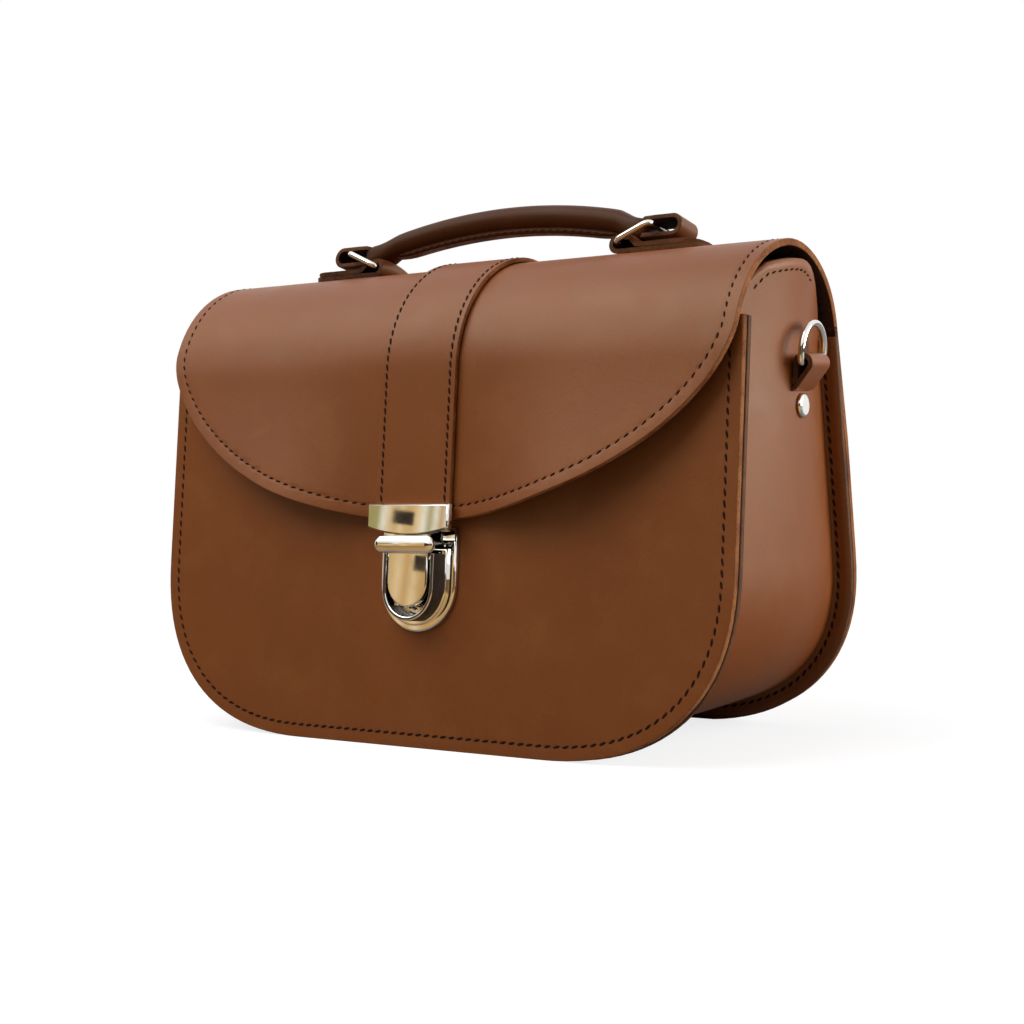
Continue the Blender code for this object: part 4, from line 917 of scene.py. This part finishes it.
handle_foot = on_flap(0, FLAP_TOP_RADIUS * (math.pi / 2 - BACK_LEAN - HANDLE_TILT), 0)
edge_drop = FLAP_TOP_RADIUS - math.sqrt(FLAP_TOP_RADIUS**2 - END_STRAP_HALF**2)
pivot_rise = SEAT_GAP + CHAPE_LEATHER + (LOOP_HOLE - edge_drop) / 2
outer_bar_x = PIVOT_X + RING_LENGTH * math.cos(RING_REST)
outer_bar_rise = pivot_rise + RING_LENGTH * math.sin(RING_REST)


def over_flap(across, rise, forward):
    """A point in the handle's upright frame: across, out from the flap, and forwards along it."""
    sine, cosine = math.sin(HANDLE_TILT), math.cos(HANDLE_TILT)
    return handle_foot + Vector((across, rise * sine - forward * cosine, rise * cosine + forward * sine))


def handle_line(x):
    return HANDLE_RISE - HANDLE_ARCH * (x / HANDLE_ARCH_HALF) ** 2


# A much darker copy of the saddle leather for the handle's tube and fin.
handle_leather = finish(
    "darker_handle_leather", grain_side, 0.25, 0.00014, specular=0.14, Leather=(0.066, 0.0180, 0.0050, 1),
    Deep=(0.040, 0.0105, 0.0032, 1), Worn=(0.120, 0.037, 0.0110, 1),
)
strap_leather = finish(
    "strap_leather", grain_side, 0.25, 0.00014, specular=0.35, Leather=(0.145, 0.040, 0.0095, 1),
    Deep=(0.090, 0.024, 0.006, 1), Worn=(0.220, 0.072, 0.020, 1),
)
# Dark cut edge: on the handle's loops and chapes it is the edges' own dark dye; on the side chapes it is painted shade.
dark_edge = finish(
    "edge_dye_and_painted_shade", cut_edge, 0.5, 0.0002, roughness=0.7, specular=0.25, Fibre=(0.180, 0.062, 0.021, 1),
    Closed=(0.038, 0.012, 0.005, 1),
)
strap_flesh = finish(
    "strap_flesh", flesh_side, 0.6, 0.0003, roughness=0.95, specular=0.08, Nap=(0.018, 0.0075, 0.005, 1),
    Brushed=(0.034, 0.014, 0.009, 1),
)
# The fin's raw edge, made pale and grey: its own light edge plus a painted highlight along the handle's underside.
fin_edge = finish(
    "fin_edge_painted_sheen", cut_edge, 0.5, 0.0002, roughness=0.75, specular=0.3, Fibre=(0.36, 0.26, 0.20, 1),
    Closed=(0.10, 0.05, 0.03, 1),
)
STRAP_SIDES = (strap_leather, dark_edge, strap_flesh)

tube = bmesh.new()
bmesh.ops.create_cone(tube, cap_ends=True, segments=28, radius1=1, radius2=1, depth=2, matrix=lying)
score(tube, 0, -1, 1, 2 / 48)
for vert in tube.verts:
    share, rise, forward = vert.co.x, vert.co.z, vert.co.y
    x = TUBE_HALF * share
    closing = clamp((abs(x) - TUBE_HALF + TUBE_CLOSING) / TUBE_CLOSING)
    flat = eased(clamp((abs(x) - FLAT_FROM) / (TUBE_HALF - FLAT_FROM)))
    tall = HANDLE_RADIUS + (FLAT_TALL - HANDLE_RADIUS) * flat
    wide = HANDLE_RADIUS + (FLAT_WIDE - HANDLE_RADIUS) * flat
    size = (1 + FLAT_SQUARED * flat * (2 * rise * forward) ** 2) * (1 - END_DRAWN_IN * closing**2)
    middle = handle_line(x) + (outer_bar_rise - handle_line(x)) * flat
    vert.co = (x, middle + rise * tall * size, forward * wide * size)
show("handle_tube", tube, "handle", [handle_leather], "handle_cover", mapping=over_flap, even=False)

fin = bmesh.new()
bmesh.ops.create_cube(fin, size=2)
score(fin, 0, -1, 1, 2 / 36)
for side in fin.faces:
    side.material_index = 1 if side.normal.z < -0.5 else 0
for vert in fin.verts:
    x = FIN_HALF * vert.co.x
    tapered = 1 - clamp((abs(x) - FIN_HALF + FIN_TAPER) / FIN_TAPER) ** 2
    depth, wider = HANDLE_RADIUS + FIN_DROP * tapered, 1
    if vert.co.z > 0:
        depth, wider = HANDLE_RADIUS - FIN_ROOT_INSIDE, FIN_ROOT_WIDER
    vert.co = (x, handle_line(x) - depth, FIN_HALF_WIDTH * vert.co.y * wider)
show("handle_fin", fin, "handle", (handle_leather, fin_edge), mapping=over_flap)


def on_fin(x, y, out):
    """The fin's side, for its stitches: along the handle, then across, with out to the front or the back."""
    return over_flap(x, handle_line(x) - HANDLE_RADIUS - FIN_DROP * FIN_SEAM, out)


fin_line = [[(-FIN_HALF + FIN_TAPER / 2, 0), (FIN_HALF - FIN_TAPER / 2, 0)]]
fin_faces = [(FIN_HALF_WIDTH, 1), (-FIN_HALF_WIDTH, -1)]
sew("handle_thread", fin_line, on_fin, "handle", fin_faces, pitch=HANDLE_STITCH)


STRAP_POINTS_ACROSS = 13


def bent_strap(
    name, path, half, thickness, body, materials, *nodes, mapping=over_flap, tips=0.0, waist=0.0, bend=False
):
    """A narrow strap that follows a path in a frame's upright plane, with rounded or narrowed ends if asked."""
    path = [Vector(point) for point in path]
    lengths = lengths_along(path)

    def strap_point(index, sideways):
        to_end = min(lengths[index], lengths[-1] - lengths[index])
        narrow = 1.0
        if tips and to_end < tips:
            narrow = math.sqrt(max(1 - (1 - to_end / tips) ** 2, 0.02))
        if waist and to_end < waist:
            narrow = 0.62 + 0.38 * to_end / waist
        forward = sideways * half * narrow
        drop = math.sqrt(FLAP_TOP_RADIUS**2 - forward**2) - FLAP_TOP_RADIUS if bend else 0
        return mapping(path[index].x, path[index].y + drop, forward)

    bm = sheet(len(path), STRAP_POINTS_ACROSS, strap_point)
    # The faces look away from the middle of the path
    centre = sum(path, Vector((0, 0))) / len(path)
    outermost = max(path, key=lambda point: abs(point.x - centre.x))
    far_spot = mapping(outermost.x, outermost.y, 0)
    nearest = min(bm.faces, key=lambda f: (f.calc_center_median() - far_spot).length)
    if nearest.normal.dot(far_spot - mapping(centre.x, centre.y, 0)) < 0:
        bmesh.ops.reverse_faces(bm, faces=bm.faces[:])
    piece = show(name, bm, body, materials, *nodes, even=False)
    thicken(piece, thickness)
    soft = piece.modifiers.new("soft_edge", "BEVEL")
    soft.width = 0.00025
    soft.segments = 2
    soft.angle_limit = math.radians(60)
    piece.modifiers.new("flat_faces", "WEIGHTED_NORMAL")


ENDS = ((-1, "left"), (1, "right"))
for side, name in ENDS:
    # Each leaf lies on the tube's flattened end, sinks into it a little, and meets the other round the bar
    upper_leaf = [(-0.003, LOOP_RADIUS - 0.0006), (0, LOOP_RADIUS - 0.0001), (0.004, LOOP_RADIUS)]
    lower_leaf = [(0.004, -LOOP_RADIUS), (0, -LOOP_RADIUS + 0.0002), (-0.003, -LOOP_RADIUS + 0.0007)]
    path = [(TUBE_HALF + x, outer_bar_rise + y) for x, y in upper_leaf]
    path += arc_points(outer_bar_x + LOOP_PAST_BAR, outer_bar_rise, LOOP_RADIUS, math.pi / 2, -math.pi / 2, 20)
    path += [(TUBE_HALF + x, outer_bar_rise + y) for x, y in lower_leaf]
    path = [(side * x, y) for x, y in path]
    bent_strap("handle_loop_" + name, path, HANDLE_LOOP_HALF, CHAPE_LEATHER, "handle", STRAP_SIDES, waist=0.0025)

# ---- Handle core ----------------------------------------------------------------------------------------------
# The cord inside the handle: three cotton strands laid together. The leather is rolled round it, and it ends
# before the handle's ends begin to flatten.
ROPE_HALF = 0.041
ROPE_LAY = 0.016
STRAND_RADIUS = 0.00135
STRAND_OFF = 0.0013
rope_fibres, tints, place = pattern("cotton cord", Cotton=(0.66, 0.58, 0.45, 1), Hollow=(0.38, 0.31, 0.22, 1))
lint = noise(rope_fibres, place, 1900, 4.0)
give(rope_fibres, Colour=dye(rope_fibres, tints["Cotton"], tints["Hollow"], lint, 0.4, 0.7), Height=lint)
cotton = finish("cotton_cord", rope_fibres, 0.6, 0.0002, roughness=0.95, specular=0.1)

strands = [[], [], []]
for number, strand in enumerate(strands):
    for step in range(121):
        x = ROPE_HALF * (2 * step / 120 - 1)
        turned = 2 * math.pi * (number / len(strands) + x / ROPE_LAY)
        strand.append(over_flap(x, handle_line(x) + STRAND_OFF * math.cos(turned), STRAND_OFF * math.sin(turned)))
rope = round_wire(strands, STRAND_RADIUS, False)
show("handle_cord", rope, "handle", [cotton], "handle_core", slot="rope_core")

# ---- Handle chapes --------------------------------------------------------------------------------------------
# Each is a strip folded double round the ring's inner bar, its two layers laid on the flap and sewn down. The
# outer end is rounded, the upper layer is pared thin there, and the layers' raw edges show as two lines.
CHAPE_END_X = 0.080
CHAPE_ROUND = 0.0060
PARED = 0.0009
CHAPE_SEAM = 0.0018
seam_side = END_STRAP_HALF - CHAPE_SEAM
lower_layer = SEAT_GAP + CHAPE_LEATHER / 2
upper_layer = lower_layer + CHAPE_LEATHER + 0.0002
upper_round = CHAPE_END_X - 0.0066
loop_radius = LOOP_HOLE / 2 + CHAPE_LEATHER / 2
loop_rise = SEAT_GAP + LOOP_HOLE / 2 + CHAPE_LEATHER


def on_chape(x, forward, out):
    """A point over a chape's upper face, which bends down to both sides with the flap."""
    drop = math.sqrt(FLAP_TOP_RADIUS**2 - forward**2) - FLAP_TOP_RADIUS
    return over_flap(x, upper_layer + CHAPE_LEATHER / 2 + drop + out, forward)


for side, name in ENDS:
    path = [(CHAPE_END_X - CHAPE_ROUND * step / 8, lower_layer) for step in range(8)]
    path += [(CHAPE_END_X - CHAPE_ROUND - 0.0205 * step / 5, lower_layer) for step in range(5)]
    path += arc_points(PIVOT_X, loop_rise, loop_radius, 3 * math.pi / 2, math.pi * 0.42, 16)
    path += [(PIVOT_X + 0.0042, loop_rise + loop_radius * 0.74), (PIVOT_X + 0.0066, upper_layer + 0.0002)]
    path += [(PIVOT_X + 0.009 + (upper_round - PIVOT_X - 0.009) * step / 4, upper_layer) for step in range(4)]
    path += [(upper_round + CHAPE_ROUND * step / 8, upper_layer - PARED * (step / 8) ** 2) for step in range(9)]
    path = [(side * x, y) for x, y in path]
    bent_strap(
        "handle_chape_leather_" + name, path, END_STRAP_HALF, CHAPE_LEATHER, "flap", STRAP_SIDES,
        "handle_chape_" + name, tips=CHAPE_ROUND, bend=True,
    )
    seam = [(PIVOT_X + 0.010, seam_side), (CHAPE_END_X - 0.0052, seam_side), (CHAPE_END_X - 0.0034, seam_side * 0.55)]
    seam = [(side * x, y) for x, y in seam + [(x, -y) for x, y in reversed(seam)]]
    sew("handle_chape_thread_" + name, [seam], on_chape, "flap", [(-0.00012, 1)], pitch=HANDLE_STITCH, size=0.85)

# ---- Handle rings ---------------------------------------------------------------------------------------------
# Rectangles of 2 mm chromed wire with round corners. The inner bar turns in the chape, and the outer one carries
# the handle.
corner_z = END_STRAP_HALF + RING_SIDE_GAP + RING_WIRE - RING_CORNER
near, far = RING_CORNER, RING_LENGTH - RING_CORNER
for side, name in ENDS:
    run = []
    for quarter, (along, z) in enumerate(((far, corner_z), (near, corner_z), (near, -corner_z), (far, -corner_z))):
        for spot, forward in arc_points(
            along, z, RING_CORNER, quarter * math.pi / 2, (quarter + 1) * math.pi / 2, 8
        ):
            x = PIVOT_X + spot * math.cos(RING_REST)
            run.append(over_flap(side * x, pivot_rise + spot * math.sin(RING_REST), forward))
    ring = round_wire([run], RING_WIRE, True, 14)
    show(
        "handle_ring_wire_" + name, ring, "ring_" + name, [chrome], "handle_ring_" + name, slot="chrome", even=False
    )

# ---- Side chapes, rivets and D-rings --------------------------------------------------------------------------
# At each end a strip comes out of a slit in the gusset, round the bar of a D-ring and back in through the slit. A
# chromed rivet below the slit holds both its tails inside. The rings take a shoulder strap's hooks.
FITTING_SHARE = 0.6
SLIT_HEIGHT = BAG_HEIGHT * 0.714
SIDE_LEATHER = 0.0016
SIDE_HALF = 0.0069
TAIL_DROP = 0.014
WALL_GAP = 0.0006
AXIS_OUT = 0.0036
AXIS_UP = 0.0065
SIDE_HOLE = 0.0016
SIDE_WIRE = 0.0011
D_INSIDE = 0.0148
D_LEG = 0.0035
D_HEIGHT = 0.012
D_CORNER = 0.0015
D_TILT = math.radians(6)
RIVET_DROP = 0.006
RIVET_HEAD = 0.0037
RIVET_DOME = 0.0014
RIVET_RIM = 0.0009
RIVET_STEM = ((0.0015, -0.0066, 0.0004), (0.0030, -0.0076, -0.0066))

wall_front, wall_back = walls_at(SLIT_HEIGHT)
wall_turn = math.atan(-GUSSET_BOW * math.pi / (wall_back - wall_front) * math.cos(math.pi * FITTING_SHARE))
wall_x = PANEL_HALF - FLANGE + GUSSET_BOW * math.sin(math.pi * FITTING_SHARE) + GUSSET_LEATHER / 2 / math.cos(wall_turn)
wall_y = wall_front + (wall_back - wall_front) * FITTING_SHARE


def on_wall(side, raised=0.0):
    """Places in a frame on the gusset at one end: out from the wall, up, and towards the back."""

    def place_on_wall(out, up, backward):
        x = wall_x + out * math.cos(wall_turn) - backward * math.sin(wall_turn)
        y = wall_y + out * math.sin(wall_turn) + backward * math.cos(wall_turn)
        return Vector((side * x, y, SLIT_HEIGHT + raised + up))

    return place_on_wall


# The side chapes' dark edges are painted shade.
SIDE_CHAPE_SIDES = (saddle_leather, dark_edge, flesh_leather)
for side, name in ENDS:
    at_wall = on_wall(side)
    half_hide = SIDE_LEATHER / 2
    loop = SIDE_HOLE + half_hide
    inside = -GUSSET_LEATHER - WALL_GAP - half_hide
    second = inside - SIDE_LEATHER
    path = [(inside, -TAIL_DROP), (inside, -0.007), (inside, -0.0022), (inside + 0.0006, -half_hide - 0.0002)]
    path += [(-0.0006, -half_hide - 0.0001), (0.0009, -half_hide + 0.0003)]
    path += arc_points(AXIS_OUT, AXIS_UP, loop, -0.45, math.pi * 0.98, 16)
    path += [(AXIS_OUT - loop - 0.0001, AXIS_UP - 0.003), (AXIS_OUT - loop - 0.0002, half_hide + 0.0010)]
    path += [(-0.0004, half_hide + 0.0001), (second + 0.0008, half_hide), (second, -0.0010)]
    path += [(second, -0.007), (second, -TAIL_DROP)]
    bent_strap(
        "side_chape_leather_" + name, path, SIDE_HALF, SIDE_LEATHER, "body", SIDE_CHAPE_SIDES, "side_chape_" + name,
        mapping=at_wall,
    )

    rivet = bmesh.new()
    pressed_plate(rivet, arc_points(0, 0, RIVET_HEAD, 0, 2 * math.pi, 36)[:-1], SEAT_GAP, RIVET_DOME, RIVET_RIM, 5)
    for vert in rivet.verts:
        vert.co = (vert.co.z, vert.co.x, vert.co.y)
    bmesh.ops.recalc_face_normals(rivet, faces=rivet.faces[:])
    for radius, low, high in RIVET_STEM:
        bmesh.ops.create_cone(
            rivet, cap_ends=True, segments=20, radius1=radius, radius2=radius, depth=high - low,
            matrix=Matrix.Translation(((low + high) / 2, 0, 0)) @ lying,
        )
    show(
        "side_rivet_head_" + name, rivet, "body", [chrome], "side_rivet_" + name,
        mapping=on_wall(side, -RIVET_DROP), slot="chrome",
    )

    half = D_INSIDE / 2 + SIDE_WIRE
    spots = arc_points(D_CORNER, half - D_CORNER, D_CORNER, math.pi, math.pi / 2, 6)
    bow_points = arc_points(0, 0, 1, 0, math.pi, 28)
    spots += [(D_LEG + (D_HEIGHT - D_LEG) * sine, half * cosine) for cosine, sine in bow_points]
    spots += arc_points(D_CORNER, D_CORNER - half, D_CORNER, -math.pi / 2, -math.pi, 6)
    run = [
        at_wall(AXIS_OUT + up * math.sin(D_TILT), AXIS_UP + up * math.cos(D_TILT), backward) for up, backward in spots
    ]
    ring = round_wire([run], SIDE_WIRE, True, 14)
    show(
        "side_ring_wire_" + name, ring, "d_ring_" + name, [chrome], "side_ring_" + name, slot="chrome", even=False
    )

# ---- Studio ---------------------------------------------------------------------------------------------------
# A pale floor without an edge under a white backdrop, a wide soft light above and a soft one at the bag's right.
# Boards that only reflections see give the polished metal a dim room and bands of gold and cream to mirror.
FLOOR_GREY = (0.32, 0.32, 0.32, 1)
FLOOR_GLOW = (0.80, 0.80, 0.80, 1)
WHITE = (1, 1, 1, 1)
FADE_FROM = 0.17
FADE_TO = 0.42
WORLD_LIGHT = 0.20


def stage_board(name, width, height, shift=(0, 0, 0), stand=Matrix.Identity(4)):
    """A flat board that belongs to the studio, and its material's nodes."""
    bm = bmesh.new()
    bmesh.ops.create_grid(bm, x_segments=1, y_segments=1, size=0.5)
    bmesh.ops.scale(bm, vec=(width, height, 1), verts=bm.verts[:])
    bmesh.ops.translate(bm, vec=shift, verts=bm.verts[:])
    mesh = bpy.data.meshes.new(name)
    bm.to_mesh(mesh)
    bm.free()
    made = bpy.data.objects.new(name, mesh)
    made.matrix_world = stand
    bpy.context.scene.collection.objects.link(made)
    surface = bpy.data.materials.new(name)
    surface.use_nodes = True
    mesh.materials.append(surface)
    return made, surface.node_tree


tree = stage_board("floor", 12, 12)[1]
shader = set_inputs(tree, tree.nodes["Principled BSDF"], {
    "Base Color": FLOOR_GREY, "Roughness": 1.0, "Specular IOR Level": 0.0,
})
seen = add_node(tree, "LightPath").outputs["Is Camera Ray"]
glow = add_node(tree, "Emission", {"Color": FLOOR_GLOW, "Strength": seen})
lifted = add_node(tree, "AddShader", {0: shader.outputs["BSDF"], 1: glow.outputs["Emission"]})
# Beyond the shadow the floor fades to the backdrop's white
place = add_node(tree, "TexCoord").outputs["Object"]
away = add_node(tree, "VectorMath", {0: place}, operation="LENGTH").outputs["Value"]
fade = add_node(
    tree, "MapRange", {"Value": away, "From Min": FADE_FROM, "From Max": FADE_TO}, interpolation_type="SMOOTHSTEP"
)
faded = add_node(tree, "Math", {0: fade.outputs["Result"], 1: seen}, operation="MULTIPLY")
backdrop = add_node(tree, "Emission", {"Color": WHITE})
blended = add_node(tree, "MixShader", {
    "Fac": faded.outputs["Value"], 1: lifted.outputs["Shader"], 2: backdrop.outputs["Emission"],
})
set_inputs(tree, tree.nodes["Material Output"], {"Surface": blended.outputs["Shader"]})

world = bpy.data.worlds.new("studio")
bpy.context.scene.world = world
world.use_nodes = True
tree = world.node_tree
soft = set_inputs(tree, tree.nodes["Background"], {"Color": WHITE, "Strength": WORLD_LIGHT})
white = add_node(tree, "Background", {"Color": WHITE, "Strength": 1.0})
rays = add_node(tree, "LightPath").outputs
seen = add_node(tree, "Math", {0: rays["Is Camera Ray"], 1: rays["Is Glossy Ray"]}, operation="MAXIMUM")
shown = add_node(tree, "Math", {0: seen.outputs["Value"], 1: rays["Is Transmission Ray"]}, operation="MAXIMUM")
chosen = add_node(tree, "MixShader", {
    "Fac": shown.outputs["Value"], 1: soft.outputs["Background"], 2: white.outputs["Background"],
})
set_inputs(tree, tree.nodes["World Output"], {"Surface": chosen.outputs["Shader"]})


def soft_light(name, spot, aim, width, height, power):
    lamp = bpy.data.lights.new(name, "AREA")
    lamp.shape = "RECTANGLE"
    lamp.size = width
    lamp.size_y = height
    lamp.energy = power
    holder = bpy.data.objects.new(name, lamp)
    holder.location = spot
    holder.rotation_euler = (Vector(aim) - Vector(spot)).to_track_quat("-Z", "Y").to_euler()
    bpy.context.scene.collection.objects.link(holder)


soft_light("top_light", (-0.34, -0.50, 0.98), (0, 0, 0.10), 1.1, 0.9, 10.0)
soft_light("right_light", (1.10, 0.55, 0.38), (0, 0, 0.08), 0.9, 0.6, 12.8)


def reflected_board(name, spot, aim, width, height, bands, shift=(0, 0, 0), span=None):
    """A board that only shows in reflections, with colours in upright bands across it or across a given span."""
    turn = (Vector(aim) - Vector(spot)).to_track_quat("Z", "Y").to_matrix().to_4x4()
    made, tree = stage_board(name, width, height, shift, Matrix.Translation(spot) @ turn)
    made.visible_camera = made.visible_diffuse = made.visible_shadow = made.visible_transmission = False
    start, end = span or (shift[0] - width / 2, shift[0] + width / 2)
    sides = add_node(tree, "SeparateXYZ", {"Vector": add_node(tree, "TexCoord").outputs["Object"]})
    ramp = add_node(tree, "ValToRGB", {"Fac": spread(tree, sides.outputs["X"], start, end)})
    stops = ramp.color_ramp.elements
    for index, colour in enumerate(bands):
        stop = index / (len(bands) - 1)
        element = stops[index] if index < 2 else stops.new(stop)
        element.position = stop
        element.color = (*colour, 1)
    emitted = add_node(tree, "Emission", {"Color": ramp.outputs["Color"]})
    set_inputs(tree, tree.nodes["Material Output"], {"Surface": emitted.outputs["Emission"]})


DUSK = (0.030, 0.024, 0.020)
SHADE = (0.055, 0.045, 0.036)
BROWN = (0.30, 0.17, 0.065)
GOLD = (0.66, 0.44, 0.19)
PALE_GOLD = (0.80, 0.61, 0.35)
CREAM = (0.88, 0.83, 0.70)
OLIVE = (0.38, 0.33, 0.13)
BRONZE = (0.50, 0.29, 0.11)
DEEP_GOLD = (0.58, 0.35, 0.13)
TABLE_BANDS = (BROWN, GOLD, BROWN, GOLD, PALE_GOLD, GOLD)
UPPER_BANDS = (
    CREAM, CREAM, BRONZE, CREAM, OLIVE, CREAM, PALE_GOLD, GOLD, GOLD, PALE_GOLD, GOLD, PALE_GOLD, CREAM, OLIVE,
)
LOWER_BANDS = (DEEP_GOLD, DEEP_GOLD, DEEP_GOLD, PALE_GOLD, DEEP_GOLD, PALE_GOLD, GOLD)
reflected_board("dark_room_left", (-0.95, -1.60, 0.44), (0, 0, 0.44), 4.4, 0.88, (DUSK, SHADE))
reflected_board("dark_room_right", (1.50, -1.50, 0.44), (0, 0, 0.44), 2.6, 0.88, (SHADE, DUSK, BROWN, DUSK))
reflected_board("table_top", (-0.55, -1.03, 0.001), (-0.55, -1.03, 1), 2.6, 1.9, TABLE_BANDS)
# What the lock mirrors towards the camera: the flap plate the upper bands, the slide's face the lower ones
for name, width, height, bands, shift, span in (
    ("upper_bands", 0.30, 0.30, UPPER_BANDS, (0, 0.140, 0), (-0.047, 0.024)),
    ("lower_bands", 0.30, 0.19, LOWER_BANDS, (0, -0.105, 0), (-0.038, 0.007)),
    ("dark_window", 0.020, 0.013, (DUSK, DUSK), (-0.0002, 0.012, 0.004), None),
    ("dark_door", 0.013, 0.015, (DUSK, DUSK), (-0.0205, -0.029, 0.004), None),
):
    reflected_board(name, (-0.76, -0.95, 0.24), (0, -0.05, 0.07), width, height, bands, shift, span)

# ---- Camera ---------------------------------------------------------------------------------------------------
# At the photograph's place: low, to the bag's right, looking slightly down and left. Its place, its turn and its
# lens come from a fit to the outlines in the photograph.
YAW = math.radians(36.11)
PITCH = math.radians(-2.89)
ROLL = math.radians(-2.02)
look = Vector((-math.sin(YAW) * math.cos(PITCH), math.cos(YAW) * math.cos(PITCH), math.sin(PITCH)))
level = Vector((math.cos(YAW), math.sin(YAW), 0))
upright = level.cross(look)
right = level * math.cos(ROLL) + upright * math.sin(ROLL)
up = upright * math.cos(ROLL) - level * math.sin(ROLL)
lens = bpy.data.cameras.new("camera")
lens.sensor_width = 36
lens.lens = 66.2
lens.clip_start = 0.01
viewer = bpy.data.objects.new("camera", lens)
bpy.context.scene.collection.objects.link(viewer)
stand = Matrix((right, up, -look)).transposed().to_4x4()
stand.translation = (0.3739, -0.49941, 0.1029)
viewer.matrix_world = stand
bpy.context.scene.camera = viewer
bpy.context.scene.view_settings.view_transform = "Standard"
